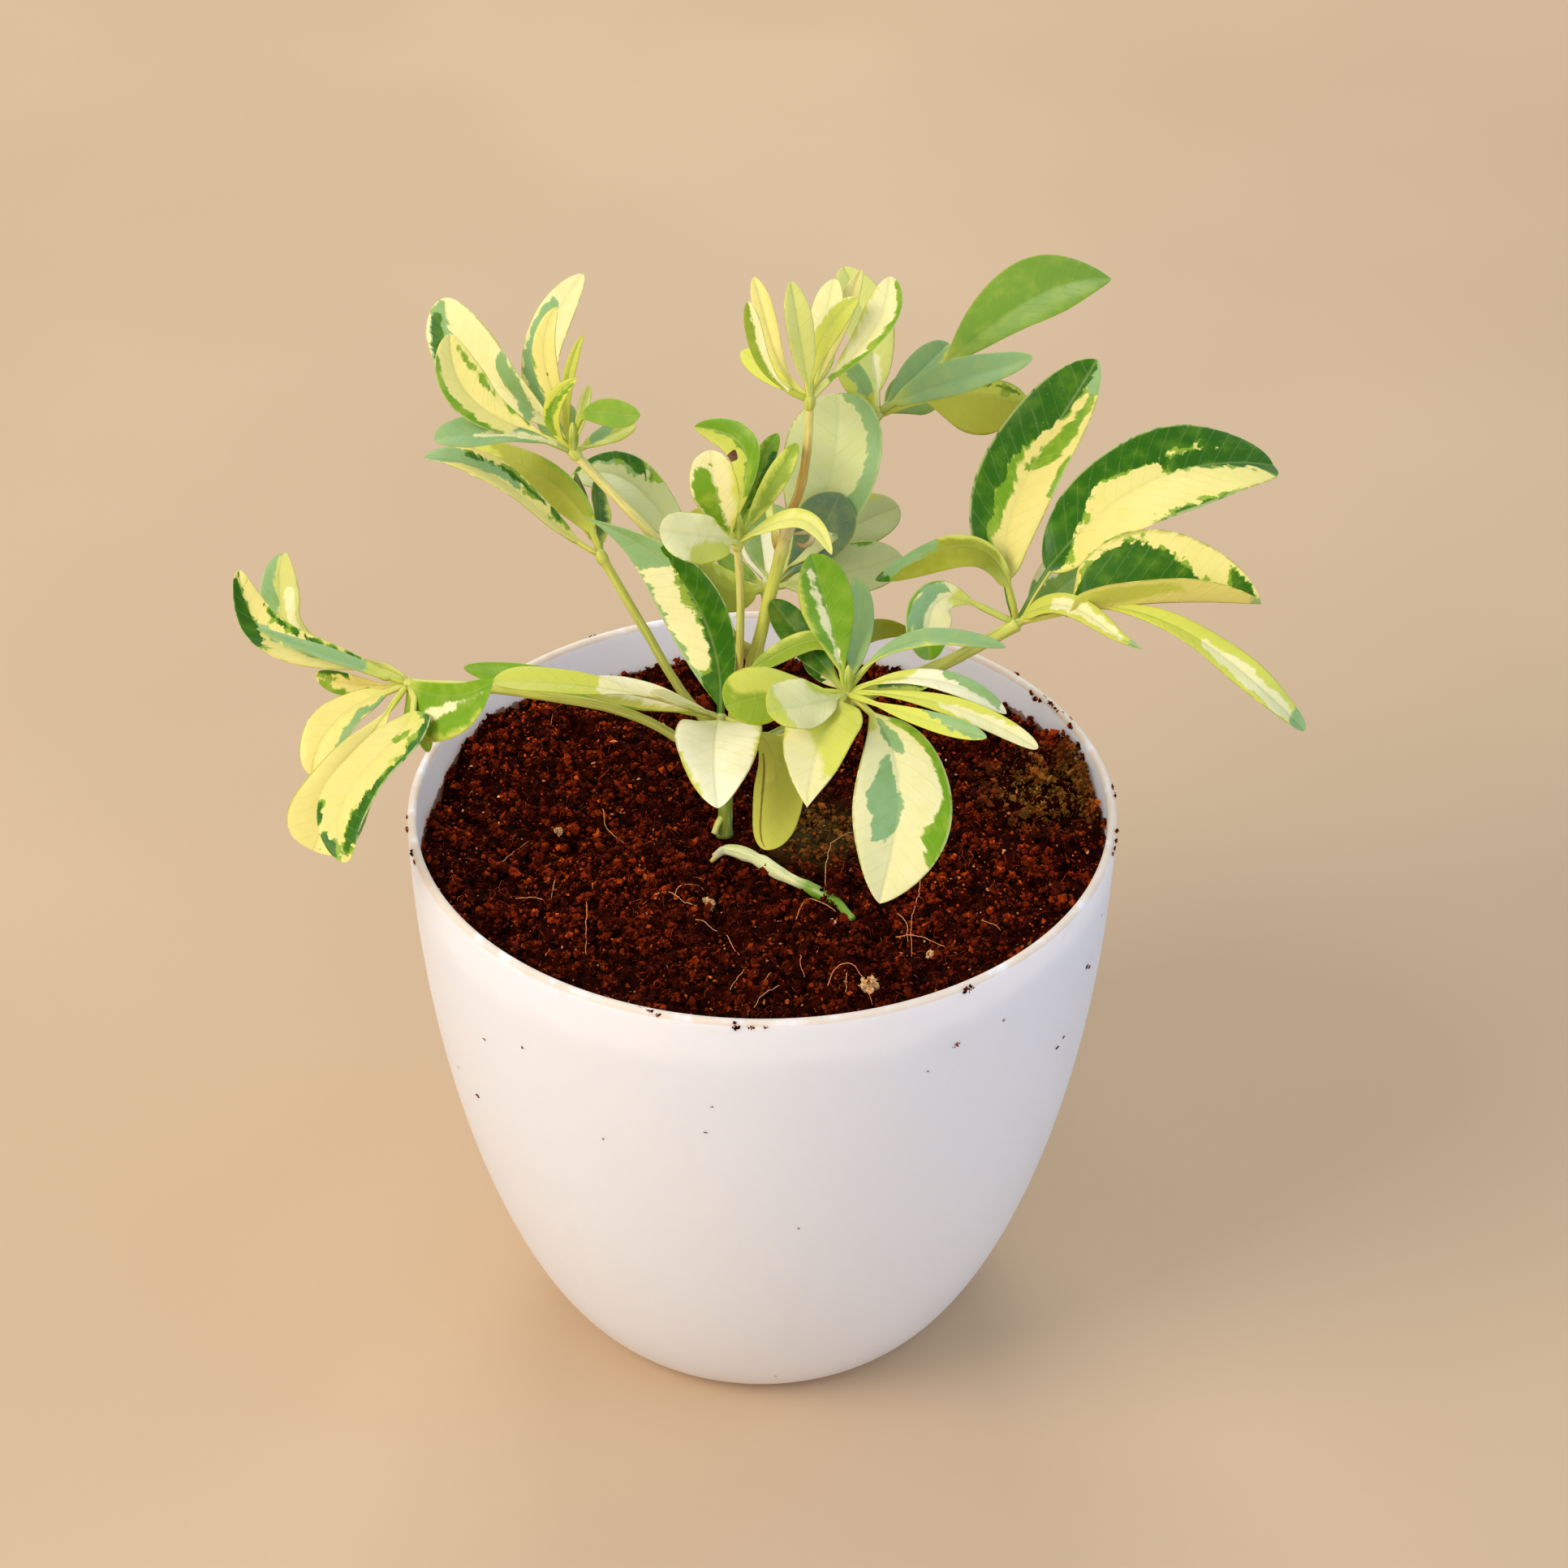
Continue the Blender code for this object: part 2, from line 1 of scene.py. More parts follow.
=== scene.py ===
"""Potted umbrella tree, dressed: fine variegated blades, stalks, loose coir and a moulded white pot."""
import math

import bpy
import numpy as np
from mathutils import Matrix, Vector


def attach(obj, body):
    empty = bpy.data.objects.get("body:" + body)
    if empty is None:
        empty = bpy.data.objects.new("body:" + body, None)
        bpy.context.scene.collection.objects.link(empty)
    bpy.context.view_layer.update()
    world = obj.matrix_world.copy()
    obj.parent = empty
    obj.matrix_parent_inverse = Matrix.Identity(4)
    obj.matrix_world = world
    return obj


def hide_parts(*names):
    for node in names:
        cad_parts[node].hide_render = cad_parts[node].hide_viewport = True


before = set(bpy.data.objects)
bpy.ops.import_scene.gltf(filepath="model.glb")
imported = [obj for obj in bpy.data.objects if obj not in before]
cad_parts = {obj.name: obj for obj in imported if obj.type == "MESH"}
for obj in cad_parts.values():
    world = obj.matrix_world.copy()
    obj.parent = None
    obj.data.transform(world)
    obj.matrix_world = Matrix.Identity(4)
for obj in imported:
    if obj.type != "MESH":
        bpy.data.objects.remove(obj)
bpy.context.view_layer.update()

MM = 0.001

# Pot and soil, in millimetres
POT_HEIGHT = 130.0
RIM_RADIUS = 75.0
FOOT_RADIUS = 39.3
WALL = 1.9
FLOOR = 2.6
SOIL_LEVEL = 118.0
SOIL_MOUND = 1.5
SOIL_RISE = 4.5
HEAP = 5.5
HEAP_ANGLE = math.radians(146)
HEAP_SPREAD = math.radians(26)
STEM_FOOT = (-8.0, 2.5)
STEM_PAD = 119.1

# Plant, in millimetres, and a plain blade's shape: shares of its size, and its fold in degrees
HUB_RADIUS = 1.3
PETIOLE = 0.62
BLADE_HALF_THICK = 0.22
PLAIN_BLADE = dict(peak=0.6, blunt=0.6, stalk=0.12, swing=0, fold=15, lean=0, wave=1, hook=0, roll=0.05)

# The view from which the leaflets are placed, 35 degrees above level
ELEVATION = math.radians(35.24)
RIGHT = np.array([1.0, 0.0, 0.0])
UPWARD = np.array([0.0, math.sin(ELEVATION), math.cos(ELEVATION)])
DEEP = np.array([0.0, math.cos(ELEVATION), -math.sin(ELEVATION)])

# Colours, as red, green and blue from 0 to 255
TONES = dict(
    yellow=(236, 222, 130), cream=(236, 230, 164), pale=(244, 240, 196), milk=(202, 209, 146),
    soft=(212, 212, 116), lime=(204, 208, 84), leek=(190, 192, 72), olive=(156, 158, 38),
    fresh=(140, 164, 42), bright=(112, 156, 24), green=(120, 156, 50), grey=(145, 180, 116),
    slate=(100, 126, 94), deep=(44, 98, 2), brown=(98, 52, 20), bark=(226, 214, 124), straw=(196, 162, 72),
    rust=(178, 128, 56), paper=(218, 200, 150), stalk=(192, 196, 86), moss=(136, 156, 40),
    foot=(126, 136, 42), cut=(226, 230, 164), root=(240, 152, 98), straw_root=(244, 196, 134))


def linear(name):
    """A named colour as linear light: shares over 0.04045 are offset and raised by 2.4, others divided."""
    share = np.array(TONES[name]) / 255
    return np.where(share > 0.04045, ((share + 0.055) / 1.055) ** 2.4, share / 12.92)


# Main stem and leaf stalks: the same lines as the solids follow
STEM = [(-8, 2.5, 119.45), (-8, 2.6, 121), (-7.9, 2.8, 126), (-7.4, 3.6, 136), (-6, 4.8, 147), (-2.8, 6, 158),
        (-0.8, 7, 166), (0.8, 8, 173.5), (2.5, 8.6, 181), (4.1, 9, 188.5), (5.2, 9, 194.3)]
STEM_RADII = [2.1, 1.75, 1.6, 1.55, 1.55, 1.5, 1.45, 1.4, 1.35, 1.3, 1.5]
STUB = [(-8, 2.6, 125), (-9.3, 1.4, 123.6), (-10.4, 0.2, 121.4)]
SHOOT = [(5.35, 9, 194.9), (6.2, 9.1, 197.5), (7.4, 9.5, 201), (8.4, 10, 206.5), (9, 10, 213), (9.3, 10, 222)]
STALKS = {
    "left": [(-9.6, 3.4, 139), (-12, 3.2, 140.2), (-17, 2.6, 143.8), (-23.7, 2, 148.8), (-32, 1, 153.1),
        (-40.5, 0.5, 155.4), (-57, 0, 158.5), (-73.6, 0, 159.4)],
    "left_back": [(-9, 5.8, 143), (-10.8, 6.8, 144), (-15.8, 8, 150.5), (-19.6, 9, 156.6),
        (-23.8, 10, 164.9), (-28.7, 11, 174.2), (-33.6, 12, 183.7)],
    "upper_left": [(-3.4, 8.4, 163), (-6, 10, 165), (-13.5, 12.8, 176.2), (-21.6, 14.6, 185.3),
        (-26.9, 16.2, 191), (-32.8, 18.5, 196.6), (-39.3, 20, 203.6)],
    "front_top": [(-5.2, 2.5, 152.8), (-5.7, 1, 154.6), (-4.9, 0.6, 162), (-4.6, 0, 174.5), (-4.6, -1, 185),
        (-5.2, -3, 196.4)],
    "back_right": [(3.3, 11.3, 188.1), (2.7, 13.5, 188.6), (1.4, 20, 189.3), (1.6, 27, 190),
        (5.5, 34.5, 191.5), (12.5, 39.3, 194), (19.5, 41, 197.3), (23.7, 40.4, 201.1)],
    "right": [(-4.1, 3.6, 140.8), (-1.8, 3.6, 141.9), (8.6, 4, 147.6), (20.4, 4, 153.9), (30.5, 3, 159.7),
        (39.6, 3, 164.5), (47.9, 4, 169.3), (52.6, 5, 172.1)],
    "front": [(-5.3, 1.9, 144.6), (-3.9, 0.2, 145.8), (4.3, -4, 149), (11.9, -9, 155.5), (16.4, -14, 163),
        (17.2, -16, 168.4)],
    "middle": [(-4.5, 7.9, 150.6), (-4, 9.8, 152), (-1.4, 14.5, 158), (0.2, 18, 164.9), (0.7, 20, 170.7)],
}
STALK_RADIUS = {"left": 1.15, "left_back": 1.05, "upper_left": 1.1, "front_top": 0.95, "back_right": 1.1,
                "right": 1.45, "front": 1.1, "middle": 1.0}
STALK_TONES = {
    "left": ("straw", "stalk", "lime", "lime"), "left_back": ("straw", "stalk", "stalk", "lime"),
    "upper_left": ("straw", "stalk", "bark", "bark"), "front_top": ("rust", "straw", "stalk", "bark"),
    "back_right": ("straw", "lime", "lime", "lime"), "right": ("straw", "moss", "stalk", "lime"),
    "front": ("straw", "stalk", "lime", "lime"), "middle": ("straw", "stalk", "lime", "lime"),
}
LOW_HUB = [(-7.1, 2.5, 147.3), (-7.7, 0.4, 149), (-8.6, -4, 154)]
FALLEN = [(-10, -7.6), (-7.6, -5.4), (-1.7, -8), (3.5, -13.1), (9, -17.6), (15, -22.6), (19, -29)]

# Papery sheath and bract near the top of the main stem
SHEATH_HEIGHT, SHEATH_LENGTH = 191, 4.5
BRACT = [(5.4, 9.2, 190.6), (9.6, 10.4, 190.4), (9.9, 8.8, 189.3), (8.3, 8.3, 188.5), (6.9, 9.2, 188.6)]

# Leaflets: name, tip to the right, up and behind in that view, width, turn, arch, bow, changes of shape
LEAFLETS = {
    "left": [
        ("A1", -35.5, 23.5, 6, 10, -30, 0.05, -0.16, dict(swing=0.06, fold=25, peak=0.62)),
        ("A2", -26.5, 26.5, 24, 9.5, 10, 0, -0.2, dict(swing=0.09, peak=0.8, blunt=0.5)),
        ("A3", -30.5, 11, -8, 5.5, -60, 0, -0.01, dict(peak=0.35)),
        ("A4", -21, 2, 16, 5.5, 20, 0, -0.04, dict(peak=0.7)),
        ("A5", -19, -19, -6, 9.5, -20, 0, 0.16, dict(swing=-0.02, stalk=0.15, blunt=0.5)),
        ("A6", -17.5, -34.5, -16, 17, -12, 0.1, 0.02, dict(peak=0.8, blunt=0.38)),
        ("A7", -9.5, -36.5, -26, 15.5, -30, 0.08, 0.02,
         dict(swing=-0.08, peak=0.45, blunt=0.5, stalk=0.18, lean=-0.2)),
        ("A8", 19, 0, -20, 13, 10, 0, 0.1, dict(lean=0.6, stalk=0, peak=0.5, blunt=0.5)),
        ("A9", 3.5, -14, 10, 4, 30, 0, 0)],
    "left_back": [
        ("B1", -36, 19.5, -6, 11, -58, 0.05, 0.065, dict(swing=-0.033, blunt=0.48)),
        ("B2", -27, 24, 14, 9, 165, 0, 0.11, dict(swing=0.015, peak=0.55, blunt=0.5)),
        ("B3", -6.5, 18, 20, 7.5, 60, 0, 0),
        ("B4", -1.5, 16.5, 16, 7, -60, 0, 0)],
    "upper_left": [
        ("C1", -27, 32.5, 8, 15, 25, -0.06, -0.062, dict(swing=0.04, peak=0.7, blunt=0.55, lean=0.05)),
        ("C2", -24.5, 23, -10, 11, -25, 0.05, -0.165, dict(swing=0.045, peak=0.7, blunt=0.6)),
        ("C3", 1.5, 38, 12, 10, 25, -0.08, -0.19),
        ("C4", -3, 29, -6, 5.5, 20, 0, -0.1, dict(swing=0.036)),
        ("C5", 2.5, 23, -10, 2.5, 0, 0, -0.09),
        ("C6", 1.5, 14, -12, 4, 20, 0, -0.25, dict(peak=0.5)),
        ("C7", 14.5, 6, -18, 6, 25, 0, -0.2, dict(swing=-0.06, stalk=0.25, peak=0.6)),
        ("C8", 2.5, 15.5, 18, 2.5, 0, 0, 0),
        ("C9", 12.5, 6.5, 8, 5.5, 30, 0, 0),
        ("C10", -27.5, 1.5, -10, 8, -35, 0.06, 0.08, dict(peak=0.72, blunt=0.5)),
        ("C11", -6, 12, 28, 9, 0, 0, 0)],
    "low": [
        ("K1", -28.5, 41, -10, 14, 20, 0, 0.185, dict(peak=0.39, blunt=1.4, stalk=0.03, lean=-0.14)),
        ("K2", 0, -18.5, -28, 18.5, 0, 0.1, 0.03, dict(peak=0.31, blunt=0.62, lean=-0.08)),
        ("K3", 10.5, -27, -14, 12, 165, 0, -0.215, dict(swing=-0.05, peak=0.58, stalk=0.2, blunt=0.5)),
        ("K4", -14.5, 5, -8, 6.5, -72, 0, 0),
        ("K5", -46.5, 7, -12, 9, -50, 0.06, 0.045, dict(peak=0.8)),
        ("K6", -30.5, 6.5, -3, 6.5, -15, 0, 0.035),
        ("K7", -55.5, 11, 26, 7, -20, 0, 0)],
    "front_top": [
        ("D1", -9, 24, 10, 7.5, 20, 0, 0.25, dict(swing=-0.09, peak=0.68)),
        ("D2", -5, 17.5, -12, 10.5, 20, 0.08, -0.06, dict(peak=0.66, blunt=0.5)),
        ("D3", 8, 23, 12, 5.5, 20, 0, -0.03),
        ("D4", 12, 20, 0, 5, 10, 0, 0.01),
        ("D5", 19, -3, -10, 4.5, 20, 0, -0.27, dict(swing=0.05, peak=0.5)),
        ("D6", -15, 1, -20, 11, -10, 0.1, 0, dict(lean=-0.2, peak=0.7, blunt=0.38)),
        ("D7", -9.5, 6.5, 8, 4.5, 0, 0, 0)],
    "crown": [
        ("E1", -12.5, 19, -6, 4, 30, -0.05, -0.15, dict(swing=-0.03, peak=0.66)),
        ("E2", -11.5, 25.5, 8, 4.5, 0, -0.06, -0.07, dict(swing=-0.02, peak=0.68)),
        ("E3", -4, 22.5, -10, 6.5, -25, 0.08, 0, dict(peak=0.58)),
        ("E4", 5, 26, 14, 7.5, 30, -0.08, 0, dict(peak=0.7)),
        ("E5", 9.5, 20.5, 0, 6, 20, 0.06, -0.12),
        ("E6", 10.5, 28.5, 18, 4, 0, 0, 0),
        ("E8", 16, 25.5, 6, 8, 25, 0.05, 0.1, dict(swing=-0.02, peak=0.68)),
        ("E9", -14, 11.5, 18, 5.5, 0, 0, 0),
        ("E10", 2, 16, 24, 8, 0, 0, 0)],
    "back_right": [
        ("F1", 50, 30.5, 14, 17, 30, 0.08, -0.062,
         dict(swing=0.025, peak=0.6, stalk=0.26, blunt=0.8, lean=-0.08)),
        ("F2", 32, 11.5, -8, 9, 30, 0.06, -0.03, dict(swing=-0.015, peak=0.5)),
        ("F3", 15.5, 17, 18, 8, 0, 0, 0),
        ("F4", 32, 3.5, 8, 14.5, 150, 0, -0.09, dict(stalk=0.3, peak=0.64, lean=-0.5)),
        ("F5", -7, 32.5, 12, 12.5, -25, 0, 0.052),
        ("F6", -8, 11, -8, 6, 0, 0, 0),
        ("F7", 12, 8.5, 30, 11, 10, 0, 0)],
    "right": [
        ("G1", 16.5, 55, 4, 18, 20, -0.05, -0.12,
         dict(swing=-0.025, lean=-0.14, stalk=0.14, peak=0.48, blunt=0.58)),
        ("G2", 54.5, 34, 14, 23.5, 30, 0.1, -0.165, dict(lean=0.06, stalk=0.16, peak=0.56, blunt=0.42)),
        ("G3", 49.5, 4, -8, 23.5, 60, 0.08, -0.04,
         dict(fold=60, stalk=0.2, peak=0.45, blunt=0.72, lean=-0.25)),
        ("G4", 57, -21.5, -16, 7.5, 30, 0.05, -0.165, dict(swing=-0.02, stalk=0.2, peak=0.7, blunt=0.5)),
        ("G5", 23.5, -5.5, -18, 5.5, 25, 0, -0.165, dict(swing=-0.05, stalk=0.05, peak=0.3, blunt=0.8)),
        ("G6", -29.5, 8.5, -6, 8, -25, 0, 0.38, dict(swing=0.06, stalk=0.12, peak=0.45, lean=-0.35)),
        ("G7", -18.5, -8, -8, 10.5, 0, 0, 0.45,
         dict(swing=-0.1, peak=0.78, blunt=0.45, stalk=0.25, lean=0.12)),
        ("G8", 20, 16, 34, 14, 20, 0, 0)],
    "front": [
        ("H1", -7.5, 28, -6, 12, -20, -0.05, 0.012, dict(peak=0.65)),
        ("H2", 2, 24, 8, 6.5, 0, 0, 0.05),
        ("H3", 32, 9.5, -4, 6, 50, 0.06, -0.185, dict(swing=-0.02)),
        ("H4", 32, -4, -8, 5, 25, 0.08, -0.15, dict(peak=0.66, stalk=0.06)),
        ("H5", 38, -11, -14, 5, 25, 0.08, -0.075, dict(peak=0.7, blunt=0.48, stalk=0.06)),
        ("H6", 27.5, -9, -20, 4.5, 20, 0.06, 0.01, dict(peak=0.7)),
        ("H7", 6.5, -42, -18, 21, 15, 0.1, -0.16, dict(swing=-0.02, peak=0.56, blunt=0.76, lean=-0.05)),
        ("H8", -8, -23, -20, 16, -20, 0.08, 0.06, dict(peak=0.36, blunt=0.95)),
        ("H9", -16, -4, -18, 12, -20, 0.05, -0.02, dict(peak=0.72, blunt=0.42)),
        ("H10", 18, 3, 10, 4.5, 20, 0, 0),
        ("H11", -24.5, -3, -8, 13, -20, 0, 0.06, dict(peak=0.74, blunt=0.45)),
        ("H12", -19.5, 5, 6, 5, -10, 0, 0.4, dict(swing=0.08)),
        ("H13", -8.5, 8.5, 12, 5, 0, 0, 0),
        ("H14", 13.5, 13, 12, 5, 0, 0, -0.3),
        ("H15", -15.5, 19.5, 14, 7.5, 0, 0, 0)],
    "middle": [
        ("I1", 14.5, 40.5, -6, 22, 15, 0.08, 0.115, dict(peak=0.68, blunt=0.5)),
        ("I2", 15, 19.5, -10, 13, 0, 0, 0.08, dict(peak=0.72)),
        ("I3", 28, 18, 10, 13, 20, 0, -0.05, dict(peak=0.7)),
        ("I4", 28.5, 6.5, -2, 12.5, 20, 0.1, 0.02),
        ("I5", -2, 14.5, 24, 9.5, 0, 0, 0),
        ("I6", -14.5, 5.5, -6, 10, 160, 0, -0.2, dict(peak=0.5)),
        ("I7", -11, 8, 8, 4, 0, 0, 0),
        ("I8", -42.5, 24.5, 22, 12, -25, 0.08, 0.04, dict(swing=-0.07, peak=0.75, blunt=0.5)),
        ("I9", 10.5, 9, -2, 5.5, 0, 0, 0),
        ("I10", 0, 20, 34, 12, 0, 0, 0)],
}

# Finer shaping: hook bends the tip forward, wave scales the edge's ripple, roll curls the edge under
FINER = {
    "A1": dict(hook=0.05, wave=0.5), "A2": dict(hook=0.1), "A5": dict(wave=2.2), "A6": dict(wave=1.6),
    "C10": dict(wave=1.6), "D6": dict(wave=3.2), "G4": dict(hook=-0.08, wave=2.0), "G5": dict(hook=-0.05),
    "H7": dict(wave=1.4), "H8": dict(wave=1.6), "H9": dict(wave=3), "I3": dict(wave=2.2),
    "K5": dict(wave=1.8), "G3": dict(wave=0.4, roll=0),
}

# Markings: main tone, then zones: tone, and stations of (share along, left edge, right edge) from -1 to 1
MARKS = {
    "A1": ("yellow",
           ("deep", (0.62, -1, -0.7), (0.7, -1, -0.1), (0.85, -1, 0), (0.98, -1, -0.2)),
           ("grey", (0.3, -0.2, 0.1), (0.5, 0, 0.25), (0.75, -0.05, 0.2)),
           ("deep", (0.12, 0.75, 0.92), (0.3, 0.55, 0.68), (0.5, 0.7, 0.82), (0.85, 0.75, 0.86))),
    "A2": ("soft",
           ("grey", (0.3, -1, -0.3), (0.5, -1, 0), (0.75, -1, -0.1), (1, -1, -0.3)),
           ("cream", (0.3, 0.2, 0.7), (0.6, 0.2, 0.7), (0.9, 0.2, 0.7))),
    "A3": ("grey", ("lime", (0, -1, 1), (0.18, -1, 1))),
    "A4": ("yellow",
           ("bright", (0.35, -0.8, -0.5), (0.5, -1, -0.6), (0.75, -1, -0.6), (0.95, -0.7, -0.2)),
           ("deep", (0.55, 0.75, 1), (0.75, 0.6, 1), (0.95, 0.8, 1))),
    "A5": ("yellow", ("grey", (0.05, -1, -0.6), (0.3, -0.85, -0.35), (0.6, -1, -0.65), (0.9, -1, -0.95))),
    "A6": ("yellow",
           ("deep", (0.5, -1, -0.94), (0.8, -1, -0.86), (0.92, -1, -0.7)),
           ("lime", (0, -1, 1), (0.12, -1, 1))),
    "A7": ("yellow",
           ("deep", (0.05, -1, -0.76), (0.3, -1, -0.8), (0.4, -1, -0.9), (0.5, -1, -0.8), (0.75, -1, -0.6),
            (0.86, -1, -0.35), (0.96, -1, -0.2)),
           ("lime", (0.1, -0.8, -0.62), (0.5, -0.8, -0.62)),
           ("deep", (0.72, 0.8, 0.95), (0.78, 0.72, 0.94), (0.81, 0.8, 0.92)),
           ("deep", (0.86, 0.5, 0.85), (0.92, 0.4, 0.9), (0.97, 0.5, 0.95)),
           ("bright", (0.16, -0.4, -0.1), (0.22, -0.4, 0.1), (0.26, -0.2, 0))),
    "A8": ("bright",
           ("cream", (0.28, 0.5, 0.68), (0.42, 0.3, 0.6), (0.52, 0.2, 0.45), (0.66, 0.2, 0.36),
            (0.9, 0.26, 0.36)),
           ("lime", (0.2, 0.94, 1), (0.5, 0.92, 1), (0.9, 0.92, 1))),
    "A9": ("fresh",),
    "B1": ("yellow",
           ("grey", (0.45, 0.2, 0.6), (0.6, 0.05, 0.6), (0.8, -0.3, 0.6), (1, -1, 1)),
           ("deep", (0.12, 0.6, 0.9), (0.45, 0.45, 0.7), (0.8, 0.4, 0.6))),
    "B2": ("olive", ("lime", (0.82, 0, 1), (1, -0.4, 1)), ("green", (0.1, -1, -0.6), (0.6, -1, -0.8))),
    "B3": ("deep", ("lime", (0, -1, -0.6), (0.5, -1, -0.5), (1, -1, -0.6))),
    "B4": ("deep", ("lime", (0, 0.5, 1), (1, 0.6, 1))),
    "C1": ("cream",
           ("grey", (0.7, -0.92, -0.4), (0.78, -0.92, -0.08), (0.9, -0.9, -0.05), (0.98, -0.6, -0.1)),
           ("deep", (0.76, -0.85, -0.45), (0.84, -0.85, -0.35), (0.93, -0.8, -0.3)),
           ("grey", (0.18, -1, 0.1), (0.26, -0.4, 0.55), (0.34, 0, 0.85), (0.46, 0.3, 0.95),
            (0.53, 0.6, 1)),
           ("bright", (0.2, -1, -0.88), (0.45, -0.9, -0.75), (0.7, -0.6, -0.5))),
    "C2": ("yellow",
           ("bright", (0.3, -1, -0.85), (0.55, -1, -0.62), (0.75, -1, -0.7), (0.92, -1, -0.85)),
           ("bright", (0.2, 0.8, 0.95), (0.5, 0.74, 0.9), (0.8, 0.6, 0.78), (0.95, 0.4, 0.6))),
    "C3": ("cream",
           ("grey", (0.1, -0.4, 0.2), (0.3, -0.8, -0.1), (0.5, -0.9, -0.3), (0.68, -0.9, -0.3),
            (0.82, -0.6, -0.2))),
    "C4": ("yellow",
           ("bright", (0.2, -1, -0.92), (0.9, -1, -0.94)),
           ("brown", (0.48, -0.1, 0), (0.51, -0.15, 0.02))),
    "C5": ("lime",),
    "C6": ("lime", ("bright", (0.1, -1, 0), (0.4, -0.7, 0.3), (0.7, -0.1, 0.6), (1, 0.2, 0.9))),
    "C7": ("green",),
    "C8": ("lime",),
    "C9": ("lime", ("grey", (0.2, -0.6, 0.3), (0.4, -1, 0.1), (0.7, -1, -0.3), (0.9, -1, -0.7))),
    "C10": ("grey",
            ("pale", (0.02, -0.8, 0.8), (0.2, -0.6, 0.5), (0.4, -0.45, 0.3), (0.55, -0.4, 0.1),
             (0.7, -0.35, -0.1)),
            ("green", (0.2, 0.7, 1), (0.6, 0.8, 1))),
    "C11": ("green",),
    "K1": ("cream",
           ("deep", (0, -1, 1), (0.1, -0.9, 1), (0.15, -0.3, 1), (0.3, -0.1, 1), (0.5, 0, 1),
            (0.62, 0.15, 1), (0.7, 0.5, 1)),
           ("grey", (0.62, 0, 1), (0.68, -0.6, 1), (0.78, -1, 1), (1, -1, 1)),
           ("grey", (0.05, -1, -0.9), (0.7, -1, -0.92))),
    "K2": ("pale", ("lime", (0.05, -1, -0.9), (0.6, -1, -0.92)), ("lime", (0.55, 0.86, 1), (0.9, 0.8, 1))),
    "K3": ("leek",
           ("brown", (0.15, -0.66, -0.54), (0.5, -0.65, -0.55), (0.72, -0.65, -0.55), (0.97, -0.67, -0.53)),
           ("olive", (0, -0.6, 0.4), (0.25, -0.5, 0.3), (0.45, -0.6, -0.2))),
    "K4": ("cream",),
    "K5": ("lime", ("yellow", (0.05, -1, 1), (0.5, -1, 1))),
    "K6": ("pale", ("lime", (0.1, -1, -0.6), (0.9, -1, -0.4))),
    "K7": ("bright",),
    "D1": ("lime",
           ("bright", (0.22, 0.4, 1), (0.4, -0.05, 1), (0.7, -0.2, 1), (0.9, -0.1, 1), (1, 0, 1)),
           ("brown", (0.56, -1, -0.5), (0.7, -1, -0.4))),
    "D2": ("cream",
           ("bright", (0.05, -0.9, 0.05), (0.3, -0.9, 0.08), (0.6, -0.9, 0), (0.85, -0.8, -0.1)),
           ("lime", (0, 0.7, 1), (0.9, 0.75, 1))),
    "D3": ("bright", ("lime", (0.05, -1, -0.85), (0.9, -1, -0.85)), ("deep", (0.2, 0.5, 1), (0.8, 0.4, 1))),
    "D4": ("fresh", ("lime", (0.05, -1, -0.6), (0.9, -1, -0.55)), ("lime", (0.1, 0.75, 1), (0.9, 0.75, 1))),
    "D5": ("soft", ("lime", (0.1, -1, -0.6), (0.8, -1, -0.7))),
    "D6": ("cream",
           ("lime", (0.15, -1, -0.4), (0.5, -1, -0.1), (0.75, -1, -0.6)),
           ("lime", (0, 0.6, 1), (0.4, 0.8, 1))),
    "D7": ("olive", ("brown", (0.6, -1, -0.3), (1, -1, 0))),
    "E1": ("fresh", ("yellow", (0.05, 0.1, 1), (1, 0, 1))),
    "E2": ("yellow",),
    "E3": ("soft",),
    "E4": ("cream",),
    "E5": ("lime",
           ("olive", (0, 0.05, 1), (1, 0.05, 1)),
           ("cream", (0.4, -1, -0.75), (0.7, -1, -0.6), (1, -1, -0.6))),
    "E6": ("yellow",),
    "E8": ("cream",
           ("bright", (0.06, -1, 1), (0.14, 0.2, 1), (0.3, 0.5, 1), (0.45, 0.68, 1), (0.7, 0.72, 1),
            (0.97, 0.6, 1)),
           ("lime", (0.15, -1, -0.82), (0.9, -1, -0.86))),
    "E9": ("lime", ("olive", (0.2, -0.6, -0.3), (0.6, -0.3, 0.2))),
    "E10": ("lime",),
    "F1": ("green",),
    "F2": ("grey",),
    "F3": ("grey", ("lime", (0.6, 0.6, 1), (0.95, 0.4, 1))),
    "F4": ("lime",
           ("deep", (0.05, 0.25, 0.5), (0.4, 0.4, 0.55), (0.9, 0.3, 0.45)),
           ("grey", (0.3, 0.75, 1), (0.9, 0.7, 1))),
    "F5": ("soft", ("yellow", (0, -0.3, 0.4), (0.3, -0.1, 0.3))),
    "F6": ("lime", ("grey", (0.2, -0.2, 1), (0.95, -0.2, 1))),
    "F7": ("green",),
    "G1": ("yellow",
           ("deep", (0, -1, -0.6), (0.12, -1, -0.6), (0.3, -1, -0.5), (0.55, -1, -0.42), (0.62, -1, -0.2),
            (0.75, -1, 0.1), (0.88, -1, 0.15), (1, -1, 0.5)),
           ("bright", (0.05, -0.75, -0.55), (0.2, -0.6, -0.3), (0.35, -0.6, -0.15), (0.56, -0.55, -0.35)),
           ("bright", (0.48, -0.15, 0.1), (0.58, 0, 0.6), (0.7, 0.25, 0.72), (0.85, 0.55, 0.85),
            (0.92, 0.7, 0.9)),
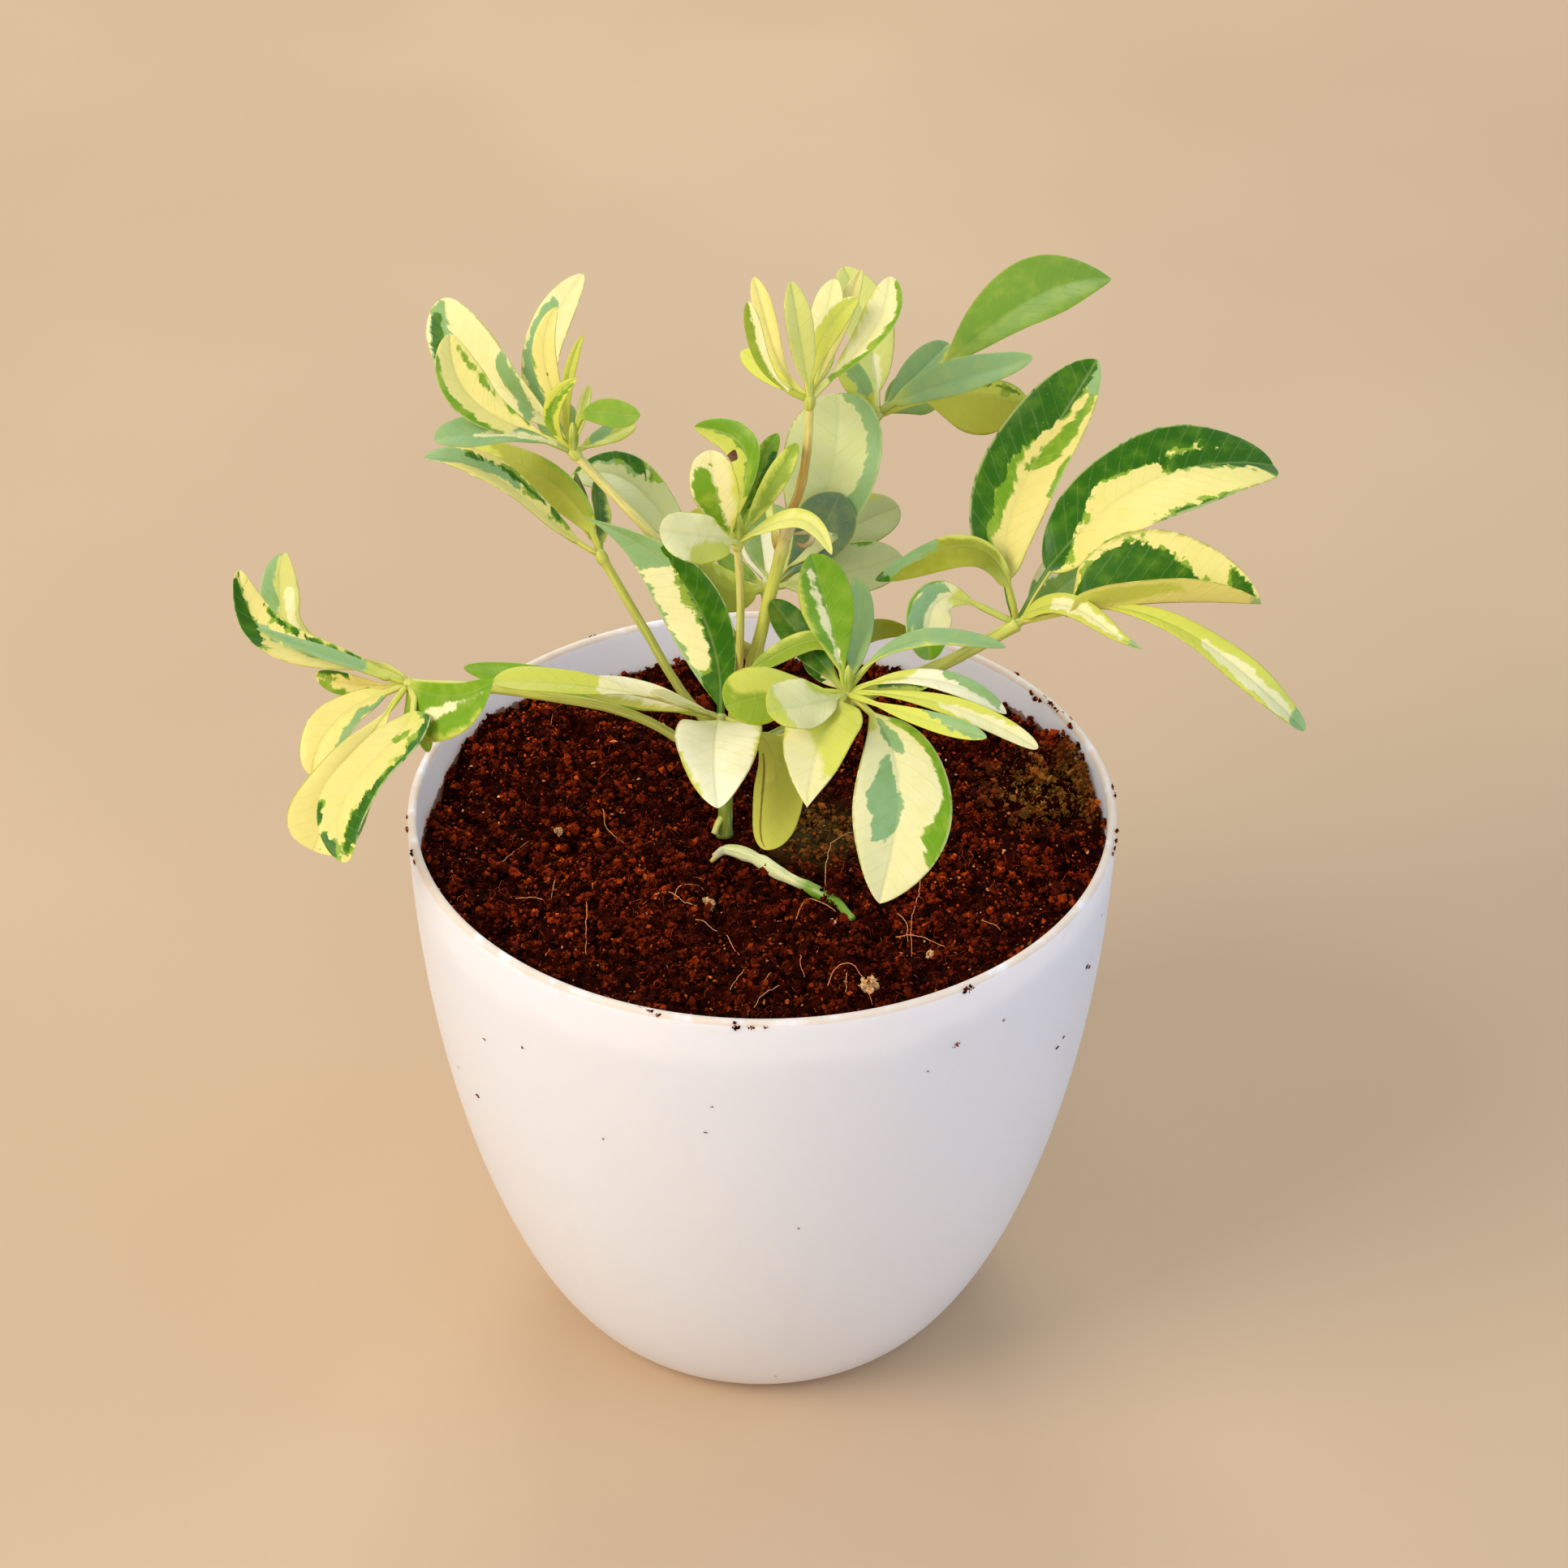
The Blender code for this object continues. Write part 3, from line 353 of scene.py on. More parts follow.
           ("bright", (0.38, 0.88, 1), (0.5, 0.78, 1), (0.62, 0.85, 1)),
           ("grey", (0.88, 0.3, 1), (1, 0, 1))),
    "G2": ("yellow",
           ("deep", (0, -1, 0.8), (0.07, -1, 0.4), (0.14, -1, 0), (0.24, -1, -0.3), (0.32, -1, -0.56),
            (0.42, -1, -0.42), (0.56, -1, -0.32), (0.66, -1, -0.5), (0.78, -1, -0.6), (0.86, -1, -0.2),
            (0.93, -1, 0.3), (1, -1, 1)),
           ("deep", (0.58, -0.22, -0.05), (0.68, -0.35, 0), (0.8, -0.42, 0.06), (0.9, -0.5, 0.3)),
           ("deep", (0.4, 0.95, 1), (0.75, 0.94, 1)),
           ("bright", (0.12, 0.82, 1), (0.2, 0.78, 1), (0.3, 0.9, 1))),
    "G3": ("yellow",
           ("deep", (0.03, -0.6, -0.35), (0.15, -0.85, -0.3), (0.35, -0.9, -0.35), (0.5, -0.8, -0.15),
            (0.6, -0.65, -0.15), (0.7, -0.45, -0.2)),
           ("grey", (0.1, -0.55, -0.3), (0.3, -0.6, -0.3), (0.5, -0.4, -0.2)),
           ("deep", (0.86, -0.75, -0.35), (0.96, -0.95, -0.2)),
           ("lime", (0.02, 0.1, 0.9), (0.4, 0.2, 0.8), (0.6, 0.5, 0.8)),
           ("grey", (0.94, 0.2, 1), (1, -0.4, 1))),
    "G4": ("lime",
           ("cream", (0.5, -0.2, 0.5), (0.7, -0.4, 0.7), (0.93, -0.4, 0.8)),
           ("grey", (0.93, -1, 1), (1, -1, 1))),
    "G5": ("lime", ("yellow", (0.2, -0.6, 0.6), (0.85, -0.5, 0.5)), ("grey", (0.9, -1, 1), (1, -1, 1))),
    "G6": ("olive",
           ("lime", (0.05, 0.5, 1), (0.6, 0.55, 1)),
           ("grey", (0.58, 0.4, 1), (0.75, -0.1, 1), (0.95, -0.3, 1)),
           ("deep", (0.95, -1, 1), (1, -1, 1))),
    "G7": ("cream",
           ("olive", (0, -1, 1), (0.25, -1, 1), (0.4, -1, -0.2)),
           ("grey", (0.42, 0.35, 0.9), (0.6, 0.2, 0.8), (0.85, 0.3, 0.9)),
           ("green", (0.45, 0.86, 1), (0.9, 0.8, 1)),
           ("green", (0.88, -1, 1), (1, -1, 1))),
    "G8": ("green", ("cream", (0.3, -1, -0.5), (0.8, -1, -0.3))),
    "H1": ("bright",
           ("cream", (0.1, -0.3, 0), (0.5, -0.35, -0.05), (0.9, -0.5, -0.2)),
           ("lime", (0, -1, -0.82), (0.9, -1, -0.86))),
    "H2": ("grey",),
    "H3": ("grey", ("lime", (0, 0.75, 1), (0.8, 0.85, 1))),
    "H4": ("pale",
           ("lime", (0, -1, 1), (0.15, -1, 1), (0.4, -1, -0.4)),
           ("grey", (0.5, -1, -0.8), (0.7, -1, -0.2), (0.95, -1, 0.2))),
    "H5": ("lime", ("cream", (0.45, 0, 0.3), (0.6, -0.2, 0.7), (0.8, -0.5, 1), (1, -1, 1))),
    "H6": ("lime", ("grey", (0.5, -1, -0.8), (0.65, -1, -0.2), (0.8, -1, 0.3), (1, -1, 0.9))),
    "H7": ("cream",
           ("grey", (0.06, -0.1, 0.1), (0.11, -0.3, 0.15), (0.2, -0.4, 0.2), (0.26, -0.35, -0.05),
            (0.3, -0.3, -0.2)),
           ("grey", (0.27, 0.15, 0.35), (0.37, 0.14, 0.48), (0.46, 0.05, 0.6), (0.53, -0.1, 0.75),
            (0.62, -0.1, 0.6), (0.68, 0.03, 0.55), (0.74, 0.3, 0.5)),
           ("bright", (0.02, -1, -0.5), (0.15, -1, -0.65), (0.37, -1, -0.8), (0.53, -1, -0.8),
            (0.62, -1, -0.62), (0.68, -1, -0.52), (0.74, -1, -0.68), (0.82, -1, -0.95)),
           ("lime", (0, 0.2, 1), (0.12, 0.5, 1))),
    "H8": ("cream",
           ("lime", (0, -1, 1), (0.25, -1, 0.8), (0.5, -1, 0.1), (0.78, -1, -0.6)),
           ("lime", (0.1, 0.85, 1), (0.5, 0.9, 1))),
    "H9": ("cream", ("lime", (0.84, -1, 1), (1, -1, 1)), ("lime", (0, 0.3, 1), (0.5, 0.6, 1))),
    "H10": ("lime", ("deep", (0.25, -0.95, -0.4), (0.5, -0.5, 0), (0.85, 0.1, 0.8))),
    "H11": ("fresh", ("lime", (0, -0.2, 1), (0.5, 0, 1), (0.9, 0.3, 1))),
    "H12": ("fresh", ("lime", (0.1, 0.7, 1), (0.8, 0.75, 1))),
    "H13": ("cream", ("deep", (0.3, -1, -0.3), (0.9, -1, 0))),
    "H14": ("olive",),
    "H15": ("deep",),
    "I1": ("milk",
           ("grey", (0.28, 0.8, 1), (0.35, 0.5, 1), (0.42, 0.45, 1), (0.57, 0.63, 1), (0.71, 0.68, 1),
            (0.855, 0.6, 1), (0.94, 0.5, 1), (1, 0.2, 1))),
    "I2": ("slate",),
    "I3": ("milk", ("lime", (0.3, -1, -0.6), (0.9, -1, -0.6))),
    "I4": ("milk", ("green", (0.55, -1, -0.9), (0.8, -1, -0.84))),
    "I5": ("pale", ("grey", (0.3, 0.8, 1), (0.9, 0.7, 1))),
    "I6": ("olive", ("lime", (0.2, -1, -0.6), (0.9, -1, -0.5))),
    "I7": ("green",),
    "I8": ("milk",
           ("deep", (0.62, 0.45, 0.7), (0.7, 0.6, 0.85), (0.8, 0.55, 1), (0.97, 0.6, 1)),
           ("grey", (0.7, 0.35, 0.6), (0.95, 0.45, 0.75))),
    "I9": ("cream", ("deep", (0.35, -1, -0.6), (0.7, -1, -0.5), (1, -1, 0.2))),
    "I10": ("green",),
}

# Loose root fibres on the soil: how high the middle stands off the soil, then points (x, y)
ROOTS = [
    (0.4, (-22.3, -21.4), (-19.9, -21.1), (-17.4, -22.8), (-14.7, -25.4), (-12.9, -25.7)),
    (0.9, (-18.2, -21.8), (-17.1, -19.8), (-14.5, -18.7), (-13.1, -18.3), (-12.1, -19.2)),
    (0.3, (-13.6, -29.9), (-11.4, -30.9), (-9, -31.5)), (0.3, (-7.1, -32.1), (-5.8, -36.2), (-4.4, -39.2)),
    (0.3, (-3, -44), (-4.9, -48), (-6.5, -53.5)), (0.4, (2.2, -45.8), (0.2, -48.9), (-2.3, -50.3)),
    (0.3, (3.9, -50.1), (1, -53.7), (-1.2, -58.1)), (0.3, (8.2, -39.5), (8.2, -42.9), (9, -46.9)),
    (0.8, (7.2, -28.5), (9.6, -23.9), (12.6, -25.2), (15.5, -27)),
    (2.4, (13.7, -51.1), (15.1, -47.8), (17, -46.8), (19, -47.9), (21.2, -51.7), (22.7, -56.2)),
    (0.3, (17.6, -47.3), (17.3, -53.9)),
    (1.6, (33.3, -15.9), (32.8, -22.7), (31.7, -28.4), (30.9, -35.4), (30.9, -42.5)),
    (0.6, (28.3, -26.7), (30, -30.8), (30.3, -37.2)),
    (1.0, (27.8, -35.3), (30.9, -35.7), (33.2, -36.9), (35.5, -39.2), (37.9, -40.5), (40.3, -42.1)),
    (2.2, (13.6, -16), (13.4, -14.1), (14.4, -5.6), (16.9, -0.8), (19.5, 3)),
    (0.5, (-55.8, -10.3), (-49.7, -0.5)), (0.7, (-34.4, 10), (-33.2, 3.1), (-29, -1.9)),
    (0.3, (-36.5, -22.5), (-35.9, -40.3)), (0.2, (-43.3, -14.8), (-43.9, -22.3)),
    (0.3, (45.5, -31.8), (49.2, -36.7)), (0.2, (-51.4, -21.3), (-45.7, -21.4)),
]
# Lumps on the soil: x, y, radius
LUMPS = [(-11.2, -22.7, 1.6), (22, -50.9, 2.0), (34.7, -41.8, 0.9), (-43.5, 1.3, 1.0)]
# Dirt on the rim and wall: angle in degrees, height, distance out from the wall's face, size
DIRT = [
    (41.7, 129.6, 0.2, 0.9), (36, 128.9, -1.9, 0.9), (34.8, 128.6, -2, 1.1), (33.6, 128.8, -2, 0.9),
    (33.5, 129.9, -1, 0.8), (31, 129.8, -1.4, 1.1), (29, 129.6, -1.6, 1.0), (27.5, 130, -1, 0.7),
    (25.8, 129.8, -0.6, 0.6), (23.5, 129.6, -1.9, 1.3), (20, 127.5, -2.2, 1.2), (17.5, 126.5, -2.3, 1.4),
    (4.7, 130, -0.1, 0.7), (2.3, 130, 0.1, 0.7), (-2, 126.5, -2.3, 1.5), (0, 125, -2.3, 1.2),
    (-4, 124.6, -2.3, 1.1), (-7.3, 130, 0.1, 0.8), (-10, 129.8, 0.3, 0.9), (-11.8, 129.6, 0.3, 0.8),
    (-13, 129.2, 0.2, 0.6), (-172.2, 129.4, 0.2, 0.8), (-165.6, 129.3, 0.2, 0.8), (-163.5, 129.1, 0.2, 0.6),
    (-175.5, 129.6, 0.1, 0.6), (-108.5, 129.9, -0.9, 0.6), (-107, 129.8, -0.5, 0.8),
    (-105.5, 129.6, -0.1, 0.6), (121.4, 129.2, 0.1, 0.9), (-56.8, 129.3, 0.1, 1.1),
    (-55.9, 128.6, 0.1, 0.8), (-93.4, 128.9, 0.1, 1.1), (-91.2, 128.8, 0.1, 0.6), (-89, 128.9, 0.1, 0.5),
    (-22.3, 108.1, 0.1, 0.6), (-24, 109.5, 0.1, 0.5), (-57.8, 115.2, 0.1, 0.8), (-32, 94.9, 0.1, 0.5),
    (-30, 96, 0.1, 0.4), (-62.9, 110.8, 0.1, 0.3), (-146.7, 81.3, 0.1, 0.6), (-140.4, 102.9, 0.1, 0.35),
    (-130.6, 108.3, 0.1, 0.35), (-97.3, 107.3, 0.1, 0.3), (-98.4, 99.9, 0.1, 0.3), (-116, 91.8, 0.1, 0.3),
]


class Value:
    """A socket that can be worked on with arithmetic, which adds Math nodes."""

    def __init__(self, look, socket):
        self.look, self.socket = look, socket

    def math(self, operation, first, second=0.0):
        return self.look.node("ShaderNodeMath", {"operation": operation}, {0: first, 1: second})

    def __add__(self, other):
        return self.math("ADD", self, other)

    def __sub__(self, other):
        return self.math("SUBTRACT", self, other)

    def __rsub__(self, other):
        return self.math("SUBTRACT", other, self)

    def __mul__(self, other):
        return self.math("MULTIPLY", self, other)

    def __abs__(self):
        return self.math("ABSOLUTE", self)

    __radd__ = __add__
    __rmul__ = __mul__


class Look:
    """A material: a Principled shader with fixed values, and nodes that feed what varies over the surface."""

    def __init__(self, name, **fixed):
        self.material = bpy.data.materials.new(name)
        self.material.use_nodes = True
        self.tree = self.material.node_tree
        self.shader = self.tree.nodes["Principled BSDF"]
        for socket, value in fixed.items():
            self.shader.inputs[socket.replace("_", " ")].default_value = value

    def node(self, kind, settings=None, sockets=None, output=0):
        """Adds a node, makes its settings, then fills or links its sockets, and gives one of its outputs."""
        made = self.tree.nodes.new(kind)
        for setting, value in (settings or {}).items():
            setattr(made, setting, value)
        for key, value in (sockets or {}).items():
            if isinstance(value, Value):
                self.tree.links.new(value.socket, made.inputs[key])
            else:
                made.inputs[key].default_value = value
        return Value(self, made.outputs[output])

    def attribute(self, name, output="Vector"):
        return self.node("ShaderNodeAttribute", {"attribute_name": name}, output=output)

    def place(self):
        return self.node("ShaderNodeTexCoord", output="Object")

    def split(self, vector):
        """The three parts of a vector as values."""
        parts = self.tree.nodes.new("ShaderNodeSeparateXYZ")
        self.tree.links.new(vector.socket, parts.inputs[0])
        return [Value(self, out) for out in parts.outputs]

    def join(self, x, y, z):
        return self.node("ShaderNodeCombineXYZ", {}, {0: x, 1: y, 2: z})

    def noise(self, vector, scale, detail):
        return self.node("ShaderNodeTexNoise", {}, {"Vector": vector, "Scale": scale, "Detail": detail})

    def cells(self, vector, scale):
        return self.node("ShaderNodeTexVoronoi", {}, {"Vector": vector, "Scale": scale}, "Distance")

    def step(self, value, low, high):
        """0 at low and 1 at high, eased between; low may lie above high."""
        settings = {"interpolation_type": "SMOOTHSTEP"}
        return self.node("ShaderNodeMapRange", settings, {0: value, 1: low, 2: high})

    def mix(self, factor, first, second):
        """One colour turned into another by a factor from 0 to 1."""
        first, second = [c if isinstance(c, Value) else (*c, 1.0) for c in (first, second)]
        return self.node("ShaderNodeMix", {"data_type": "RGBA"}, {0: factor, 6: first, 7: second}, 2)

    def feed(self, colour, roughness, height=None, depth=0.0001):
        """Links what varies to the shader, and any height through a Bump node of that depth in metres."""
        self.tree.links.new(colour.socket, self.shader.inputs["Base Color"])
        self.tree.links.new(roughness.socket, self.shader.inputs["Roughness"])
        if height:
            normal = self.node("ShaderNodeBump", {}, {"Strength": 1.0, "Distance": depth, "Height": height})
            self.tree.links.new(normal.socket, self.shader.inputs["Normal"])


def ease(share):
    """0 below 0, 1 above 1, and 3t^2 - 2t^3 between."""
    share = np.clip(share, 0, 1)
    return share * share * (3 - 2 * share)


def pot_radius(height):
    """The pot's outer radius: the foot's, plus the flare times (1 - (1 - share)^1.91)^0.66."""
    share = np.clip(np.asarray(height, float) / POT_HEIGHT, 0, 1)
    return FOOT_RADIUS + (RIM_RADIUS - FOOT_RADIUS) * (1 - (1 - share) ** 1.91) ** 0.66


def soil_height(x, y):
    """The soil's mean top: a low mound, eased up at the right wall and in a heap at the back left.

    It is level round the stem."""
    x, y = np.asarray(x, float), np.asarray(y, float)
    radius = np.hypot(x, y)
    beside = 1 - np.abs(np.arctan2(y, x) - HEAP_ANGLE) / HEAP_SPREAD
    height = SOIL_LEVEL + SOIL_MOUND * (1 - (radius / 72) ** 2) + SOIL_RISE * ease((x - 12) / 52)
    height = height + HEAP * ease((radius - 48) / 20) * ease(beside)
    away = np.clip((np.hypot(x - STEM_FOOT[0], y - STEM_FOOT[1]) - 4) / 5, 0, 1)
    return height * away + STEM_PAD * (1 - away)


def lattice(x, y, cell, seed):
    """Smooth random heights from -1 to 1: random values at the corners of square cells, eased between."""
    cells = 128
    offset = 32 * cells
    corners = np.random.default_rng(seed).uniform(-1, 1, (cells, cells))
    across, down = x / cell + offset, y / cell + offset
    i, j = np.floor(across).astype(int), np.floor(down).astype(int)
    s, t = ease(across - i), ease(down - j)
    i, j, k, m = i % cells, j % cells, (i + 1) % cells, (j + 1) % cells
    near = corners[i, j] * (1 - s) + corners[k, j] * s
    far = corners[i, m] * (1 - s) + corners[k, m] * s
    return near * (1 - t) + far * t


def rings(grid, uv):
    """Closed skin over a grid of rings of points: quads between rings, and strips of quads over both ends.

    The grid has shape (rings, sides, 3) with an even number of sides. Faces are turned outward by the sign
    of the volume they enclose. The map has one more column than the rings have sides."""
    count, sides = grid.shape[:2]
    i, j = np.meshgrid(np.arange(count - 1), np.arange(sides), indexing="ij")
    wide = sides + 1
    here = i * wide + j
    quads = np.stack([here, here + 1, here + wide + 1, here + wide], -1).reshape(-1, 4)
    k = np.arange(sides // 2 - 1)
    near = np.stack([k, sides - 1 - k, sides - 2 - k, k + 1], -1)
    far = near[:, ::-1] + (count - 1) * wide
    quads = np.concatenate([quads, near, far])
    points = grid.reshape(-1, 3)
    row, column = np.divmod(quads, wide)
    real = row * sides + column % sides
    a, b, c, d = (points[real[:, n]] for n in range(4))
    volume = np.einsum("ij,ij->", a, np.cross(b, c)) + np.einsum("ij,ij->", a, np.cross(c, d))
    if volume < 0:
        real, quads = real[:, ::-1], quads[:, ::-1]
    return points, real, uv.reshape(-1, 2)[quads]


def piece(name, points, faces, look, values=None, corners=None, stands_for=(), smooth=True):
    """One piece of the plant or pot: points in millimetres, faces of equal corner count, values at points."""
    mesh = bpy.data.meshes.new(name)
    mesh.vertices.add(len(points))
    mesh.vertices.foreach_set("co", (np.asarray(points) * MM).astype(np.float32).ravel())
    mesh.loops.add(faces.size)
    mesh.loops.foreach_set("vertex_index", np.ascontiguousarray(faces, np.int32).ravel())
    mesh.polygons.add(len(faces))
    mesh.polygons.foreach_set("loop_start", np.arange(0, faces.size, faces.shape[1], dtype=np.int32))
    mesh.update(calc_edges=True)
    mesh.polygons.foreach_set("use_smooth", np.full(len(faces), smooth))
    for key, data in (values or {}).items():
        flat = data.ndim == 1
        layer = mesh.attributes.new(key, "FLOAT" if flat else "FLOAT_VECTOR", "POINT")
        layer.data.foreach_set("value" if flat else "vector", data.astype(np.float32).ravel())
    if corners is not None:
        layer = mesh.uv_layers.new(name="OFBake")
        layer.uv.foreach_set("vector", corners.astype(np.float32).ravel())
    mesh.materials.append(look.material)
    mesh.update()
    obj = bpy.data.objects.new(name, mesh)
    bpy.context.scene.collection.objects.link(obj)
    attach(obj, "root")
    if stands_for:
        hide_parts(*stands_for)
    return obj


class Heap:
    """Skins gathered into one piece, with their values and their maps laid out side by side."""

    def __init__(self):
        self.points, self.faces, self.corners, self.values, self.count = [], [], [], [], 0

    def add(self, grid, values, size):
        """A grid of rings, its values as (rings, sides, n) arrays, and its map's length and height in mm."""
        count, sides = grid.shape[:2]
        map_u, map_v = np.linspace(0, size[0], count), np.linspace(0, size[1], sides + 1)
        uv = np.stack(np.meshgrid(map_u, map_v, indexing="ij"), -1)
        points, faces, corners = rings(grid, uv)
        self.points.append(points)
        self.faces.append(faces + self.count)
        self.corners.append(corners)
        self.values.append({key: data.reshape(len(points), -1).squeeze() for key, data in values.items()})
        self.count += len(points)

    def finish(self, name, look, stands_for=()):
        """Lays the maps in rows by falling height, scaled to fill a unit square, and makes the piece."""
        sizes = [corners.reshape(-1, 2).max(0) for corners in self.corners]
        margin = 1.0
        wide = math.sqrt(sum((w + margin) * (h + margin) for w, h in sizes)) * 1.12
        wide = max(wide, max(w for w, _ in sizes) + 2 * margin)
        x, y, row = margin, margin, 0.0
        for index in sorted(range(len(sizes)), key=lambda n: -sizes[n][1]):
            w, h = sizes[index]
            if x + w + margin > wide:
                x, y, row = margin, y + row + margin, 0.0
            self.corners[index] = self.corners[index] + (x, y)
            x, row = x + w + margin, max(row, h)
        scale = 1 / max(wide, y + row + margin)
        values = {key: np.concatenate([v[key] for v in self.values]) for key in self.values[0]}
        return piece(name, np.concatenate(self.points), np.concatenate(self.faces), look, values,
                     np.concatenate(self.corners) * scale, stands_for)


def smooth_path(points, count):
    """Points spaced evenly along the cubic curve through the given ones, and how far along each lies."""
    p = np.asarray(points, float)
    p = np.vstack([2 * p[0] - p[1], p, 2 * p[-1] - p[-2]])
    a, b, c, d = p[:-3, None], p[1:-2, None], p[2:-1, None], p[3:, None]
    t = (np.arange(8) / 8)[None, :, None]
    square, cube = 2 * a - 5 * b + 4 * c - d, 3 * b - a - 3 * c + d
    fine = 0.5 * (2 * b + (c - a) * t + square * t ** 2 + cube * t ** 3)
    fine = np.vstack([fine.reshape(-1, p.shape[1]), p[-2]])
    run = np.concatenate([[0], np.cumsum(np.linalg.norm(np.diff(fine, axis=0), axis=1))])
    at = np.linspace(0, run[-1], count)
    return np.stack([np.interp(at, run, fine[:, k]) for k in range(p.shape[1])], 1), at


def limb(path, radii, sides=14, lumpy=0.0, seed=0):
    """Rings round a path, each square to it, with the given radius swollen by slow random waves."""
    along = np.gradient(path, axis=0)
    along /= np.linalg.norm(along, axis=1)[:, None]
    hint = np.eye(3)[np.argmin(np.abs(along).mean(0))]
    side = np.cross(along, hint)
    side /= np.linalg.norm(side, axis=1)[:, None]
    other = np.cross(along, side)
    angle = 2 * np.pi * np.arange(sides) / sides
    run = np.concatenate([[0], np.cumsum(np.linalg.norm(np.diff(path, axis=0), axis=1))])
    swell = 1 + lumpy * lattice(run[:, None], 3 * np.cos(angle)[None] + 0 * run[:, None], 2.5, seed)
    radius = np.broadcast_to(radii, len(path))[:, None] * swell
    turned_side = np.cos(angle)[None, :, None] * side[:, None]
    turned_other = np.sin(angle)[None, :, None] * other[:, None]
    return path[:, None] + radius[..., None] * (turned_side + turned_other), run, angle


def add_limb(heap, path, radii, stops, seed=0, sides=14, lumpy=0.05):
    """A limb whose colour runs through named tones, given as (share of its length, tone)."""
    grid, run, angle = limb(path, radii, sides, lumpy, seed)
    at = [share for share, _ in stops]
    colours = np.array([linear(tone) for _, tone in stops])
    tint = np.stack([np.interp(run / run[-1], at, colours[:, k]) for k in range(3)], 1)
    shape = grid.shape[:2]
    turn_x, turn_y = np.cos(angle)[None] + seed * 3.7, np.sin(angle)[None]
    grain = np.stack(np.broadcast_arrays(run[:, None], turn_x, turn_y), -1)
    values = {"tint": np.broadcast_to(tint[:, None], (*shape, 3)), "grain": grain}
    heap.add(grid, values, (run[-1], 2 * np.pi * float(np.max(radii))))


HALF_COLUMNS = [0.07, 0.2, 0.4, 0.6, 0.78, 0.9, 0.97, 1]
COLUMNS = np.array([-c for c in HALF_COLUMNS[::-1]] + [0] + HALF_COLUMNS)
BLADE_RINGS = 46
LAYERS = ("lime", "cream", "bright", "grey", "deep", "brown")
LAYER_OF = dict(lime="lime", olive="lime", yellow="cream", cream="cream", pale="cream", bright="bright",
                green="bright", grey="grey", deep="deep", brown="brown")
MARK_RANGE = 4.0


def zone(band, v, c, half, length):
    """How far inside a band a point of the blade lies, in millimetres, with less than nothing outside it."""
    stations = np.array(band, float)
    low = np.interp(v, stations[:, 0], np.where(stations[:, 1] <= -1, -1.5, stations[:, 1]))
    high = np.interp(v, stations[:, 0], np.where(stations[:, 2] >= 1, 1.5, stations[:, 2]))
    start, end = stations[0, 0], stations[-1, 0]
    sides = np.minimum(c - low, high - c) * np.maximum(half, 1.2)
    ends = np.minimum(v - (start if start > 0 else -0.5), (end if end < 1 else 1.5) - v) * length
    return np.clip(np.minimum(sides, ends), -MARK_RANGE, MARK_RANGE)


